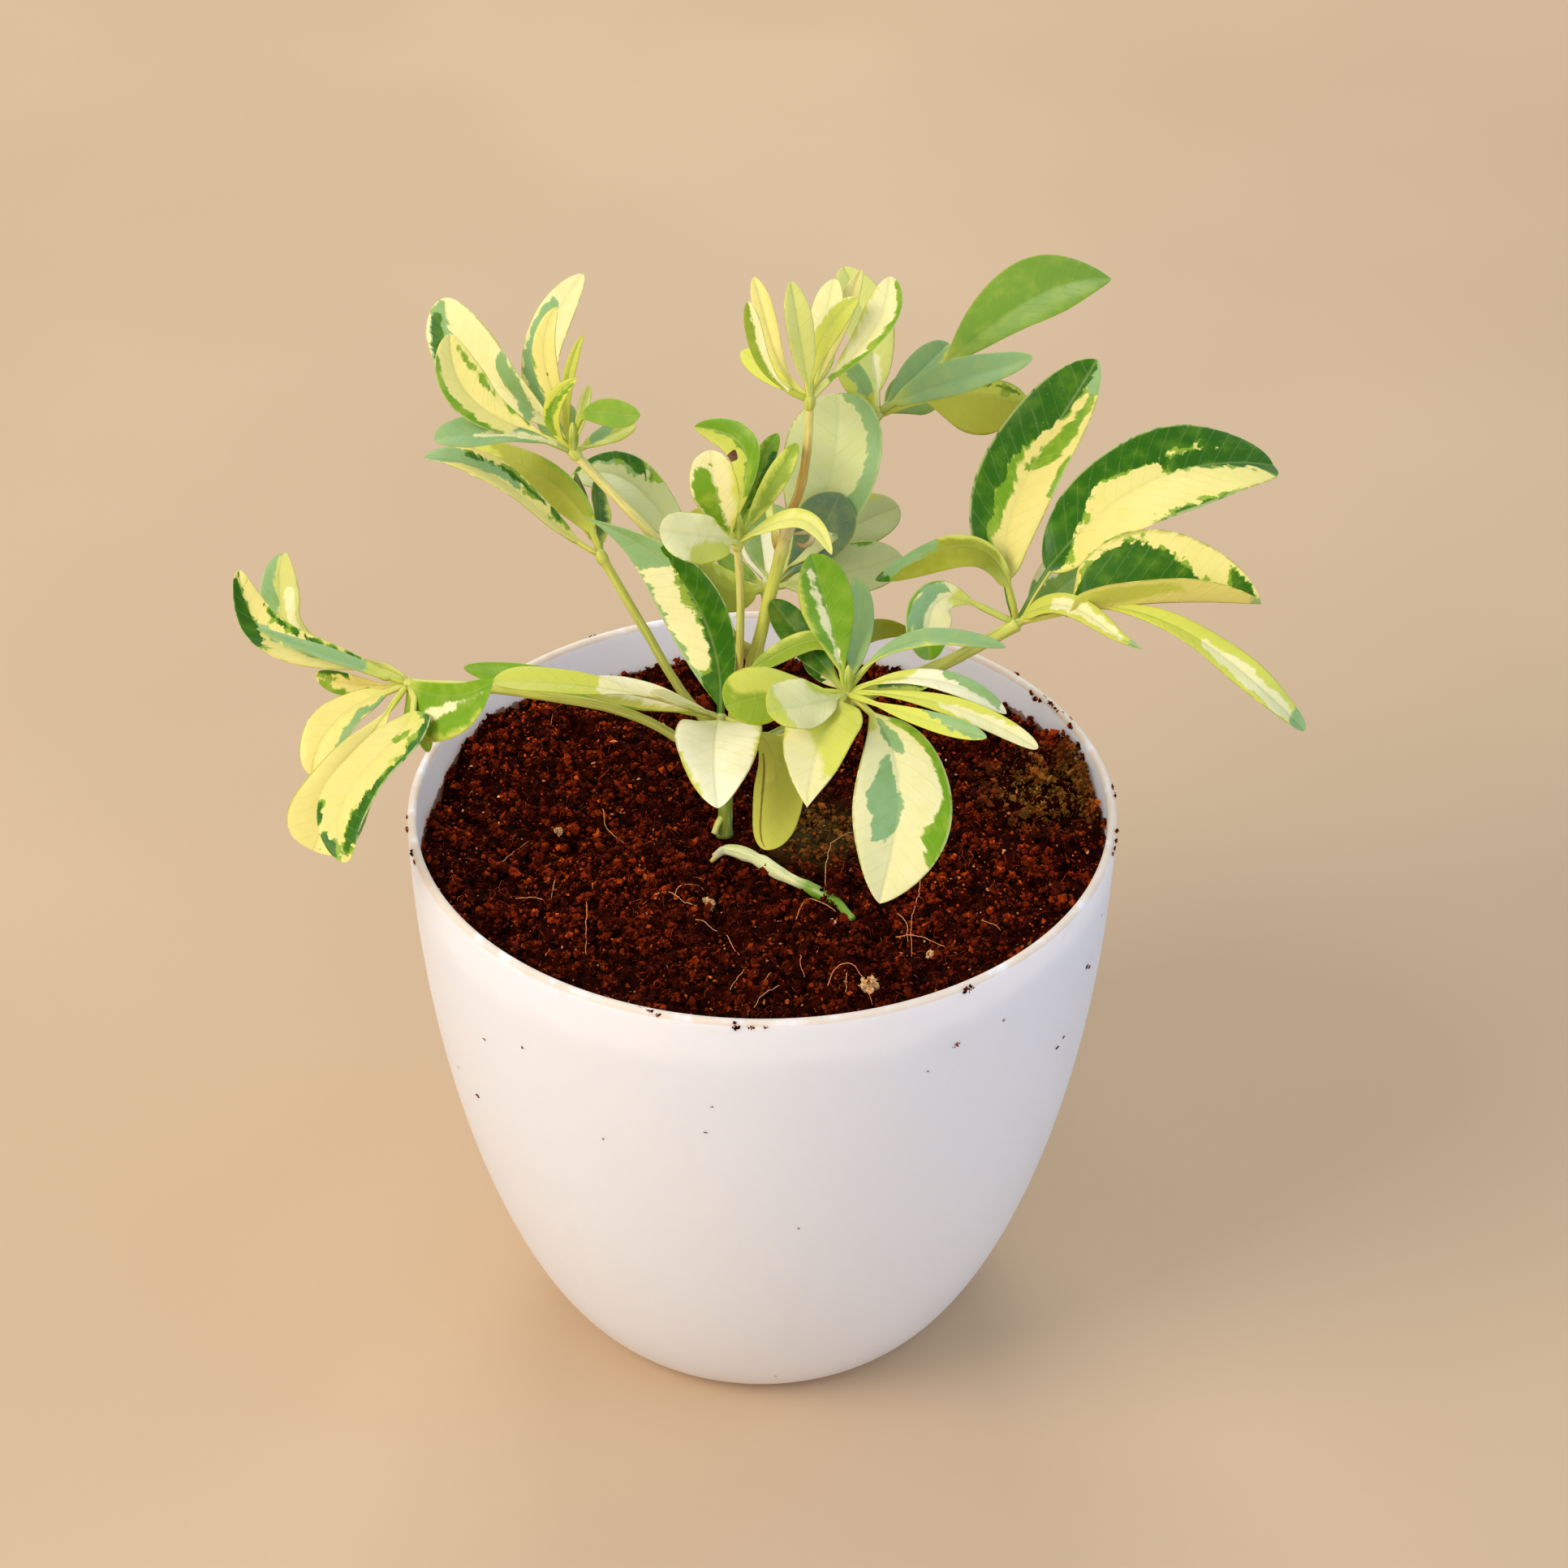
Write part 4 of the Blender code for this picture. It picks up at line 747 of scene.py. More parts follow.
def add_blade(heap, hub, row, seed):
    """A leaflet: its rib is the chord from hub to tip, arched by 4u(1-u) and swung by 10.4u(1-u)(1-2u).

    Its half-width is v^rise (1-v)^blunt scaled to its peak. Both halves rise from the rib by the fold,
    and the margin ripples as a sine."""
    name, right, up, behind, width, turn, arch, bow = row[:8]
    shape = {**PLAIN_BLADE, **(row[8] if len(row) > 8 else {}), **FINER.get(name, {})}
    peak, blunt, stalk = shape["peak"], shape["blunt"], max(shape["stalk"], 0.02)
    chord = right * RIGHT + up * UPWARD + behind * DEEP
    length = np.linalg.norm(chord)
    along = chord / length
    side = np.cross(along, -DEEP)
    side /= np.linalg.norm(side)
    front = np.cross(side, along)

    def rib(u):
        bend, wave = 4 * u * (1 - u), 10.4 * u * (1 - u) * (1 - 2 * u)
        hook = shape["hook"] * ease((u - 0.72) / 0.28) ** 2
        forward, sideways = arch * bend + hook, bow * bend + shape["swing"] * wave
        return hub + chord * u + length * (front * forward + side * sideways)

    v = (1 - np.cos(np.pi * np.linspace(0, 1, BLADE_RINGS))) / 2
    u = np.concatenate([[0, stalk / 2], stalk + (1 - stalk) * v])[:, None]
    v = np.clip((u - stalk) / (1 - stalk), 0, 1)
    tangent = rib(u + 0.004) - rib(u - 0.004)
    tangent /= np.linalg.norm(tangent, axis=1)[:, None]
    across = side - (tangent @ side)[:, None] * tangent
    across /= np.linalg.norm(across, axis=1)[:, None]
    facing = np.cross(across, tangent)
    angle = math.radians(turn)
    across, facing = (across * math.cos(angle) + facing * math.sin(angle),
                      facing * math.cos(angle) - across * math.sin(angle))
    rise = blunt * peak / (1 - peak)
    half = width / 2 * v ** rise * (1 - v) ** blunt / (peak ** rise * (1 - peak) ** blunt)
    half = np.maximum(half, PETIOLE * np.clip(1 - v / 0.5, 0, 1) + 0.1)
    unrolled = ease(v / 0.12)
    thick = BLADE_HALF_THICK * (1 - 0.6 * ease((v - 0.9) / 0.1))
    thick = thick + (PETIOLE - BLADE_HALF_THICK) * (1 - unrolled)
    fold = math.radians(shape["fold"]) * unrolled
    top, under = COLUMNS, COLUMNS[::-1]
    c = np.concatenate([top, under])[None]
    below = np.concatenate([np.zeros(len(top)), np.ones(len(under))])[None]
    section = np.sqrt(np.maximum(1 - np.abs(c) ** (2 + 6 * unrolled), 0.02)) * thick
    section = section * np.where(below > 0, -1, 1)
    reach = half * (1 + c * shape["lean"])
    lift = (np.sqrt(c * c + 0.003) - 0.055) / 0.947
    phase = seed * 2.399
    margin = c * c * np.sin(2 * np.pi * (1.7 * v + 0.31 * np.sign(c)) + phase) * np.sin(np.pi * v) ** 0.7
    ripple = shape["wave"] * 0.028 * width * margin * unrolled
    ridge = -np.exp(-(c / 0.06) ** 2) * unrolled * (1 - 0.7 * v) * np.where(below > 0, 0.3, 0.1)
    curl = -shape["roll"] * half * np.abs(c) ** 3 * unrolled
    height = reach * lift * np.sin(fold) + ripple + section + ridge + curl
    sideways = reach * c * np.cos(fold)
    grid = rib(u)[:, None] + across[:, None] * sideways[..., None] + facing[:, None] * height[..., None]

    tone, *zones = MARKS[name]
    blade_length = length * (1 - stalk)
    inside = {layer: np.full(height.shape, -MARK_RANGE) for layer in LAYERS}
    for mark, *band in zones:
        layer = LAYER_OF[mark]
        depth = zone(band, v + 0 * c, c + 0 * v, half + 0 * c, blade_length)
        inside[layer] = np.maximum(inside[layer], depth)
    root = (1 - ease(v / 0.2))[..., None] * 0.6
    tint = linear(tone) * (1 - root) + linear("lime") * root + 0 * c[..., None]
    luck = 1 + 0.07 * math.sin(seed * 5.1)
    seat = np.stack(np.broadcast_arrays(v * blade_length, reach * c, seed * 7.13), -1)
    values = {"tint": tint * luck, "seat": seat, "under": below + 0 * v, "edge": np.abs(c) + 0 * v,
              "marks": np.stack([inside[layer] for layer in LAYERS[:3]], -1),
              "darks": np.stack([inside[layer] for layer in LAYERS[3:]], -1)}
    heap.add(grid, values, (length, 2.2 * width))


OCTAHEDRON = np.array([(1, 0, 0), (-1, 0, 0), (0, 1, 0), (0, -1, 0), (0, 0, 1), (0, 0, -1)], float)
OCTAHEDRON_FACES = np.array([(0, 2, 4), (2, 1, 4), (1, 3, 4), (3, 0, 4),
                             (2, 0, 5), (1, 2, 5), (3, 1, 5), (0, 3, 5)])


def turned(count, rng):
    """Random rotations: each from a random unit quaternion written out as a matrix."""
    quaternion = rng.normal(size=(4, count))
    w, x, y, z = quaternion / np.linalg.norm(quaternion, axis=0)
    return np.stack([np.stack([1 - 2 * (y * y + z * z), 2 * (x * y - z * w), 2 * (x * z + y * w)], -1),
                     np.stack([2 * (x * y + z * w), 1 - 2 * (x * x + z * z), 2 * (y * z - x * w)], -1),
                     np.stack([2 * (x * z - y * w), 2 * (y * z + x * w), 1 - 2 * (x * x + y * y)], -1)], 1)


def crumbs(centres, sizes, rng):
    """Rough grains: an eight-faced solid at each centre, stretched at random and turned at random."""
    count = len(centres)
    stretch = rng.uniform(0.55, 1.35, (count, 6, 1)) * rng.uniform(0.6, 1.3, (count, 1, 3))
    shapes = OCTAHEDRON[None] * stretch * np.asarray(sizes)[:, None, None]
    points = np.einsum("nij,nkj->nki", turned(count, rng), shapes) + np.asarray(centres)[:, None]
    faces = OCTAHEDRON_FACES[None] + 6 * np.arange(count)[:, None, None]
    return points.reshape(-1, 3), faces.reshape(-1, 3)


def hairs(starts, bends, ends, radius):
    """Thin fibres: three-sided rings along (1-t)^2 start + 2t(1-t) bend + t^2 end, tapered to both ends."""
    t = np.linspace(0, 1, 6)[None, :, None]
    path = (1 - t) ** 2 * starts[:, None] + 2 * t * (1 - t) * bends[:, None] + t * t * ends[:, None]
    along = ends - starts
    side = np.cross(along, (0.2, 0.1, 1.0))
    side /= np.linalg.norm(side, axis=1)[:, None]
    other = np.cross(along / np.linalg.norm(along, axis=1)[:, None], side)
    angle = 2 * np.pi * np.arange(3) / 3
    spread = np.cos(angle)[None, :, None] * side[:, None] + np.sin(angle)[None, :, None] * other[:, None]
    width = radius[:, None, None, None] * (0.35 + 2.6 * t * (1 - t))[..., None]
    points = path[:, :, None] + spread[:, None] * width
    i, j = np.meshgrid(np.arange(5), np.arange(3), indexing="ij")
    k = (j + 1) % 3
    a, b, c, d = i * 3 + j, i * 3 + k, (i + 1) * 3 + k, (i + 1) * 3 + j
    faces = np.concatenate([np.stack([a, b, c], -1).reshape(-1, 3), np.stack([a, c, d], -1).reshape(-1, 3),
                            [(0, 2, 1), (15, 16, 17)]])
    return points.reshape(-1, 3), (faces[None] + 18 * np.arange(len(starts))[:, None, None]).reshape(-1, 3)


# White plastic: clean shell with a faint mould grain, soil stains at the lip and on the inner wall, specks
plastic = Look("white_plastic", IOR=1.46, Specular_IOR_Level=0.5, Subsurface_Weight=0.8,
               Subsurface_Scale=0.006, Subsurface_Radius=(1.0, 0.85, 0.75))
spot = plastic.place()
x, y, z = plastic.split(spot)
cloud = plastic.noise(spot, 18.0, 3.0)
inner = plastic.attribute("inner", "Fac")
streaks = plastic.noise(plastic.join(x * 60.0, y * 60.0, z * 6.0), 1.0, 3.0)
shade = plastic.mix(plastic.step(cloud, 0.3, 0.75), (0.93, 0.915, 0.91), (0.95, 0.94, 0.935))
shade = plastic.mix(plastic.step(streaks, 0.56, 0.8) * 0.3, shade, (0.82, 0.79, 0.77))
mottle = plastic.noise(spot, 150.0, 4.0)
lip = plastic.step(z, 0.1286, 0.1293) * plastic.step(mottle, 0.25, 0.5)
shade = plastic.mix(lip * 0.65, shade, (0.66, 0.46, 0.27))
grubby = plastic.step(z, 0.1245, 0.1295) * plastic.step(mottle, 0.56, 0.72)
shade = plastic.mix(grubby * 0.22, shade, (0.6, 0.42, 0.3))
splash = plastic.noise(spot, 620.0, 3.0)
stain = plastic.step(inner + (splash - 0.5) * 4.0, 0.4, -0.1)
shade = plastic.mix(stain * 0.75, shade, (0.2, 0.07, 0.025))
scattered = plastic.step(plastic.noise(spot, 45.0, 1.0), 0.52, 0.6)
speck = plastic.step(plastic.cells(spot, 90.0), 0.045, 0.028) * scattered
shade = plastic.mix(speck * 0.85, shade, (0.12, 0.05, 0.02))
gloss = plastic.noise(spot, 70.0, 3.0) * 0.16 + 0.3 + lip * 0.25
plastic.feed(shade, gloss, plastic.noise(spot, 900.0, 2.0) * 0.3 + streaks * 0.4, 0.00006)

# Coir soil: dark red-brown with rust specks, and an olive film of moss to the right of the stem's foot; its
# near-black base is partly painted shade for the gaps between the grains
MOSS_MIDDLE = (12, 4)
WALL_MOSS_MIDDLE = (62, 14)
coir = Look("coir_soil", Specular_IOR_Level=0.02)
spot = coir.place()
clods = coir.noise(spot, 420.0, 4.0)
dust = coir.noise(spot, 1500.0, 2.0)
# near-black to dark red-brown: partly the coir's own colour, and partly painted shade in the gaps between the
# grains
shade = coir.mix(coir.step(clods, 0.35, 0.7), (0.005, 0.0005, 0.0002), (0.04, 0.004, 0.0008))
shade = coir.mix(coir.step(dust, 0.62, 0.76) * 0.5, shade, (0.17, 0.03, 0.005))
middle = tuple(MM * v for v in (*MOSS_MIDDLE, SOIL_LEVEL + 1))
from_middle = coir.node("ShaderNodeVectorMath", {"operation": "DISTANCE"}, {0: spot, 1: middle}, "Value")
film = coir.step(coir.noise(spot, 60.0, 2.0) * 0.01 + from_middle, 0.021, 0.011)
shade = coir.mix(film * 0.6, shade, (0.07, 0.045, 0.012))
coir.feed(shade, coir.step(clods, 0.2, 0.8) * 0.2 + 0.75, clods + dust * 0.5, 0.0006)

# Coir grains and fibres: each carries its own colour, broken by a fine dust
grains = Look("coir_grains", Specular_IOR_Level=0.03)
spot = grains.place()
dust = grains.noise(spot, 1700.0, 2.0)
tint = grains.attribute("tint")
shade = grains.mix(grains.step(dust, 0.45, 0.72) * 0.5, tint, (0.012, 0.002, 0.001))
grains.feed(shade, dust * 0.3 + 0.6, dust, 0.0002)

# Stalks and stems: tone along the limb, long streaks, small brown pores
bark = Look("young_bark", IOR=1.45, Subsurface_Weight=0.08, Subsurface_Scale=0.0012,
            Subsurface_Radius=(0.9, 1.0, 0.4))
grain = bark.attribute("grain")
run, turn_x, turn_y = bark.split(grain)
streak = bark.noise(bark.join(run * 0.16, turn_x * 2.4, turn_y * 2.4), 1.0, 3.0)
pores = bark.cells(bark.join(run * 0.7, turn_x * 2.2, turn_y * 2.2), 1.0)
tint = bark.attribute("tint")
shade = bark.mix(bark.step(streak, 0.48, 0.75) * 0.4, tint, (0.16, 0.2, 0.03))
shade = bark.mix(bark.step(streak, 0.5, 0.25) * 0.35, shade, (0.85, 0.82, 0.42))
shade = bark.mix(bark.step(pores, 0.16, 0.08) * 0.35, shade, (0.3, 0.2, 0.06))
bark.feed(shade, streak * 0.2 + 0.38, streak + bark.step(pores, 0.2, 0.05) * 0.4, 0.00012)

# Leaf: markings with edges torn along the side veins, a faint rib, fine veins, a duller underside
leaf = Look("variegated_leaf", IOR=1.45, Specular_IOR_Level=0.2, Subsurface_Weight=0.16,
            Subsurface_Scale=0.0015, Subsurface_Radius=(0.8, 1.0, 0.25), Coat_Weight=0.03,
            Coat_Roughness=0.25)
run, off, seed = leaf.split(leaf.attribute("seat"))
away = abs(off)
under = leaf.attribute("under", "Fac")
edge = leaf.attribute("edge", "Fac")
where = leaf.join(run, off, seed)
half_side = leaf.step(off, -0.01, 0.01) * 5.0
vein_run = run - away * 0.8
torn = leaf.noise(leaf.join(vein_run * 0.5, away * 0.13, seed + half_side), 1.0, 4.0)
patchy = leaf.noise(where, 0.3, 3.0)
grit = leaf.noise(where, 2.4, 3.0)
jag = (torn - 0.5) * 3.4 + (patchy - 0.5) * 1.6 + (grit - 0.5) * 0.5
lime, cream, bright = leaf.split(leaf.attribute("marks"))
grey, deep, brown = leaf.split(leaf.attribute("darks"))
shade = leaf.attribute("tint")
shade = leaf.mix(leaf.step(patchy, 0.38, 0.72) * 0.16, shade, tuple(linear("lime")))
fringe = deep + (patchy - 0.44) * 7.0
layers = [(lime, "lime", "soft", 1.0, 0.8), (cream, "cream", "pale", 0.8, 0.3),
          (fringe, "bright", "lime", 1.0, 0.3), (bright, "bright", "lime", 1.0, 0.3),
          (grey, "grey", "green", 1.0, 0.25), (deep, "deep", "bright", 1.0, 0.2),
          (brown, "brown", "brown", 0.15, 0.1)]
dark = 0.0
for inside, tone, other, ragged, soft in layers:
    mask = leaf.step(inside + jag * ragged, -soft, soft)
    body = leaf.mix(leaf.step(patchy, 0.4, 0.75) * 0.35, tuple(linear(tone)), tuple(linear(other)))
    if tone in ("bright", "grey", "deep"):
        dark = mask + dark - mask * dark
    shade = leaf.mix(mask, shade, body)
rib_line = leaf.step(away, 0.5, 0.15)
shade = leaf.mix(rib_line * (dark * 0.08 + 0.12), shade, (0.42, 0.52, 0.16))
ladder = leaf.node("ShaderNodeMath", {"operation": "SINE"}, {0: vein_run * 1.9 + torn * 5.0})
veins = leaf.step(ladder, 0.9, 1.0)
shade = leaf.mix(veins * (dark * 0.05 + 0.035), shade, (0.5, 0.58, 0.2))
flecks = leaf.step(leaf.cells(where, 1.1), 0.13, 0.06) * leaf.step(grit, 0.5, 0.6)
shade = leaf.mix(flecks * dark * 0.45, shade, (0.55, 0.6, 0.35))
rim_tone = leaf.mix(dark, tuple(linear("olive")), (0.55, 0.62, 0.22))
shade = leaf.mix(leaf.step(edge, 0.93, 0.99) * leaf.step(torn, 0.32, 0.52) * 0.75, shade, rim_tone)
back = leaf.mix(0.25, shade, tuple(linear("lime")))
shade = leaf.mix(under, shade, back)
leaf.feed(shade, patchy * 0.14 + 0.32 - dark * 0.05 + under * 0.16,
          grit * 0.25 + veins * 0.3 - rib_line * 0.5 + patchy * 1.0, 0.00012)

# Pot: fine lathe of the same profile, with a rounded lip and a hollow under the foot
steps = 192
heights = np.concatenate([1.2 + 8 * (np.arange(8) / 8) ** 1.4, np.linspace(9.4, 128.8, 60)])
lip_turn = np.linspace(0, np.pi, 13)
lip_middle, lip_half = RIM_RADIUS - WALL / 2, WALL / 2
lip_height = POT_HEIGHT - lip_half
foot = [(0.4, 1.1), (FOOT_RADIUS - 7, 1.1), (FOOT_RADIUS - 6, 0.3), (FOOT_RADIUS - 5, 0),
        (FOOT_RADIUS - 1.6, 0), (FOOT_RADIUS - 0.4, 0.25)]
shell = [(float(pot_radius(h)), h) for h in heights]
lip = [(lip_middle + lip_half * math.cos(a), lip_height + lip_half * math.sin(a)) for a in lip_turn]
lining = [(float(pot_radius(h)) - WALL, h) for h in np.linspace(127.6, 6, 44)]
floor_ring = [(FOOT_RADIUS - 2, FLOOR + 0.8), (FOOT_RADIUS - 4, FLOOR), (0.4, FLOOR)]
profile = np.array(foot + shell + lip + lining + floor_ring)
turns = 2 * np.pi * np.arange(steps) / steps
out, up = profile[:, :1], profile[:, 1:]
grid = np.stack([out * np.cos(turns), out * np.sin(turns), up + 0 * turns], -1)
above_soil = grid[..., 2] - soil_height(grid[..., 0], grid[..., 1])
above_soil[:len(foot) + len(shell) + len(lip) // 2 + 1] = 40
run = np.concatenate([[0], np.cumsum(np.linalg.norm(np.diff(profile, axis=0), axis=1))]) / 400
map_u, map_v = np.meshgrid(run * 0.98 + 0.01, np.linspace(0.01, 0.99, steps + 1), indexing="ij")
points, faces, corners = rings(grid, np.stack([map_v, map_u], -1))
values = {"inner": above_soil.reshape(-1)}
piece("pot_shell", points, faces, plastic, values, corners, ("pot",))

# Soil bed: the mean top with clods of four sizes, its edge kept just inside the wall
steps = 480
radii = np.concatenate([[0.3], np.linspace(1.2, 72.3, 118)])
turns = 2 * np.pi * np.arange(steps) / steps
x, y = radii[:, None] * np.cos(turns), radii[:, None] * np.sin(turns)


def rough_soil(x, y):
    """The soil's mean top plus random clods 9, 4.4, 2 and 0.8 mm across."""
    clods = 0.8 * lattice(x, y, 9, 1) + 1.2 * lattice(x, y, 4.4, 2) + 1.0 * lattice(x, y, 2, 3)
    clods = clods + 0.3 * lattice(x, y, 0.8, 4)
    near = ease((np.hypot(x - STEM_FOOT[0], y - STEM_FOOT[1]) - 3) / 4)
    return soil_height(x, y) + clods * near - 0.1


top = rough_soil(x, y)
limit = pot_radius(top) - WALL - 0.12
squeeze = np.minimum(1, limit / radii[:, None])
bed = np.stack([x * squeeze, y * squeeze, top], -1)
low = np.array([(-0.12, 112), (-0.12, 100), (-0.12, 70), (-0.12, 40), (-0.12, 16), (-1.6, FLOOR + 0.3)])
walls = pot_radius(low[:, 1]) - WALL + low[:, 0]
under = np.stack([walls[:, None] * np.cos(turns), walls[:, None] * np.sin(turns), low[:, 1:] + 0 * turns], -1)
last = np.stack([0.3 * np.cos(turns), 0.3 * np.sin(turns), 0 * turns + FLOOR + 0.3], -1)[None]
grid = np.concatenate([bed, under, last])
reach = np.concatenate([np.linspace(0.001, 0.44, len(bed)), np.linspace(0.45, 0.495, len(under) + 1)])
wide = 2 * np.pi * np.arange(steps + 1) / steps
disc = 0.5 + reach[:, None, None] * np.stack([np.cos(wide), np.sin(wide)], -1)[None]
points, faces, corners = rings(grid, disc)
piece("soil_bed", points, faces, coir, None, corners, ("soil",))

# Clumps that cover part of the cut stalk: x, y, radius, height over the soil
COVER = np.array([(13.4, -21.8, 1.4, 2.4), (14.6, -23, 1.5, 2.5), (13.2, -23.6, 1.3, 1.5),
                  (14.4, -24.8, 1.2, 1), (16, -22.2, 1.3, 1.2), (15, -21, 1.2, 1)])
# Soil banked against the right wall: angle in degrees, height the bank reaches
BANK = [(3, 118), (7, 120.5), (11, 124.5), (14, 127), (20, 127.6), (24, 127), (28, 124), (33, 121), (40, 118)]
# Loose clumps of grains, fine grains and fibres: how many of each, and how far out they lie
CLUMPS, CLUMP_REACH = 1750, 72.6
GRAINS, GRAIN_REACH = 14500, 72.9
FIBRES, FIBRE_REACH = 2600, 68.5
STEM_CLEARANCE = 3.6
rng = np.random.default_rng(11)
EARTHS = np.array([(0.008, 0.0009, 0.0003), (0.055, 0.005, 0.0008), (0.19, 0.019, 0.002), (0.5, 0.075, 0.007),
                   (0.62, 0.2, 0.04), (0.8, 0.42, 0.2)])
EARTH_SHARES = (0, 0.3, 0.68, 0.92, 0.975, 1)


def earth_tints(pick, x, y, rng):
    """An earth tone for each grain by its pick from 0 to 1.

    Grains are olive-brown on the moss by the stem and the right wall, and paler towards the sides and the
    back, which is painted light."""
    tint = np.stack([np.interp(pick, EARTH_SHARES, EARTHS[:, k]) for k in range(3)], 1)
    by_stem = 1 - np.hypot(x - MOSS_MIDDLE[0], y - MOSS_MIDDLE[1]) / 15
    by_wall = 1 - np.hypot(x - WALL_MOSS_MIDDLE[0], y - WALL_MOSS_MIDDLE[1]) / 20
    mossy = np.maximum(by_stem, 0.7 * by_wall)
    mossy = (ease(mossy * 1.6) * rng.random(len(x)) ** 0.5)[:, None]
    # painted light: grains away from the front middle are made up to 1.85 times brighter
    painted_side_light = 1.05 + 0.8 * ease((np.abs(x) - 8) / 30) * ease((y + 48) / 32)
    return (tint * (1 - mossy) + np.array([0.2, 0.1, 0.016]) * (0.5 + pick[:, None]) * mossy) * painted_side_light[:, None]


def scatter(count, reach, rng):
    """Random places on the soil inside a radius and clear of the stem."""
    far, spin = reach * np.sqrt(rng.random(count)), rng.uniform(0, 2 * np.pi, count)
    x, y = far * np.cos(spin), far * np.sin(spin)
    keep = np.hypot(x - STEM_FOOT[0], y - STEM_FOOT[1]) > STEM_CLEARANCE
    return x[keep], y[keep]


def inside_wall(centres, sizes):
    """Moves centres in so that their grains stay off the pot's wall."""
    out = np.hypot(centres[:, 0], centres[:, 1])
    limit = pot_radius(centres[:, 2]) - WALL - 1.2 * sizes - 0.1
    return centres * np.stack([np.minimum(1, limit / out)] * 2 + [0 * out + 1], 1)


def banked(count, rng):
    """Clumps piled against the right wall up to the bank: places, radii and heights over the soil."""
    turn = rng.uniform(BANK[0][0], BANK[-1][0], count)
    crest = np.interp(turn, *zip(*BANK))
    rise = rng.random(count) ** 0.8
    height = SOIL_LEVEL + (crest - SOIL_LEVEL) * rise
    out = pot_radius(height) - WALL - 1.2 - 5.5 * (1 - rise) * rng.random(count)
    x, y = out * np.cos(np.radians(turn)), out * np.sin(np.radians(turn))
    return np.column_stack([x, y, rng.uniform(0.8, 1.6, count), height - rough_soil(x, y)])


x, y = scatter(CLUMPS, CLUMP_REACH, rng)
loose = np.column_stack([x, y, rng.uniform(0.7, 1.9, len(x)), rng.uniform(-0.5, 1.2, len(x))])
x, y, span, raised = np.concatenate([loose, COVER, banked(230, rng)]).T
each = 12
ball = rng.normal(size=(len(x), each, 3))
ball /= np.linalg.norm(ball, axis=2)[..., None]
ball[..., 2] = np.abs(ball[..., 2]) * 1.15 - 0.15
ball *= (span[:, None] * rng.uniform(0.45, 1, (len(x), each)))[..., None]
base = np.stack([x, y, rough_soil(x, y) + raised], -1)
centres = (base[:, None] + ball).reshape(-1, 3)
sizes = np.clip(rng.lognormal(-0.66, 0.36, len(centres)), 0.25, 1.1) * np.repeat(0.65 + span / 5, each)
pick = np.repeat(rng.random(len(x)) ** 1.5, each) * 0.36 + 0.5 * rng.random(len(centres)) ** 1.4
# painted light: grains higher on each clump get a lighter earth tone, and lower ones a darker one
pick = pick + 0.17 * ball[..., 2].reshape(-1) - 0.06
centres = inside_wall(centres, sizes)
points, faces = crumbs(centres, sizes, rng)
tints = earth_tints(np.clip(pick, 0, 1), centres[:, 0], centres[:, 1], rng)
piece("soil_clumps", points, faces, grains, {"tint": np.repeat(tints, 6, 0)}, smooth=False)

x, y = scatter(GRAINS, GRAIN_REACH, rng)
sizes = np.clip(rng.lognormal(-1.15, 0.4, len(x)), 0.14, 0.7)
centres = inside_wall(np.stack([x, y, rough_soil(x, y) + sizes * rng.uniform(-0.2, 0.8, len(x))], -1), sizes)
points, faces = crumbs(centres, sizes, rng)
tints = earth_tints(rng.random(len(x)) ** 1.7, x, y, rng)
piece("soil_grains", points, faces, grains, {"tint": np.repeat(tints, 6, 0)}, smooth=False)

# Short coir fibres lying every way
x, y = scatter(FIBRES, FIBRE_REACH, rng)
heading = rng.uniform(0, 2 * np.pi, len(x))
span = np.clip(rng.lognormal(0.45, 0.4, len(x)), 0.8, 5.5)
offset = (np.stack([np.cos(heading), np.sin(heading)]) * span / 2).T
middle = np.stack([x, y], -1)
lines = [middle - offset, middle + rng.normal(0, 0.35, (len(x), 2)) * span[:, None], middle + offset]
lifts = [rng.uniform(-0.3, 1.0, len(x)), rng.uniform(0.3, 2.6, len(x)), rng.uniform(-0.3, 1.3, len(x))]
lines = [np.column_stack([p, rough_soil(p[:, 0], p[:, 1]) + lift]) for p, lift in zip(lines, lifts)]
points, faces = hairs(*lines, rng.uniform(0.035, 0.08, len(x)))
pick = rng.random(len(x))
tints = earth_tints(np.where(pick > 0.985, 0.975, 0.35 + 0.55 * pick), x, y, rng) * 1.15
piece("coir_fibres", points, faces, grains, {"tint": np.repeat(tints, 18, 0)})

# Root fibres seen one by one
heap = Heap()
for index, (lift, *line) in enumerate(ROOTS):
    flat, run = smooth_path(line, 22)
    share = run / run[-1]
    sway = [lattice(run, 0 * run, 1.7, 60 + index), lattice(run, 0 * run, 2.3, 90 + index)]
    flat = flat + 0.25 * np.stack(sway, 1) * (4 * share * (1 - share))[:, None]
    ground = rough_soil(flat[:, 0], flat[:, 1])
    near = np.abs(np.arange(len(ground))[:, None] - np.arange(len(ground))[None])
    height = np.where(near < 3, ground[None], -99).max(1) * 0.7 + ground.mean() * 0.3
    path = np.column_stack([flat, height + 1.0 + lift * 4 * share * (1 - share)])
    stops = [(0, "root"), (1, ("straw_root", "root")[index % 2])]
    add_limb(heap, path, 0.06 + 0.045 * (1 - share), stops, index, 6)
heap.finish("root_fibres", grains)

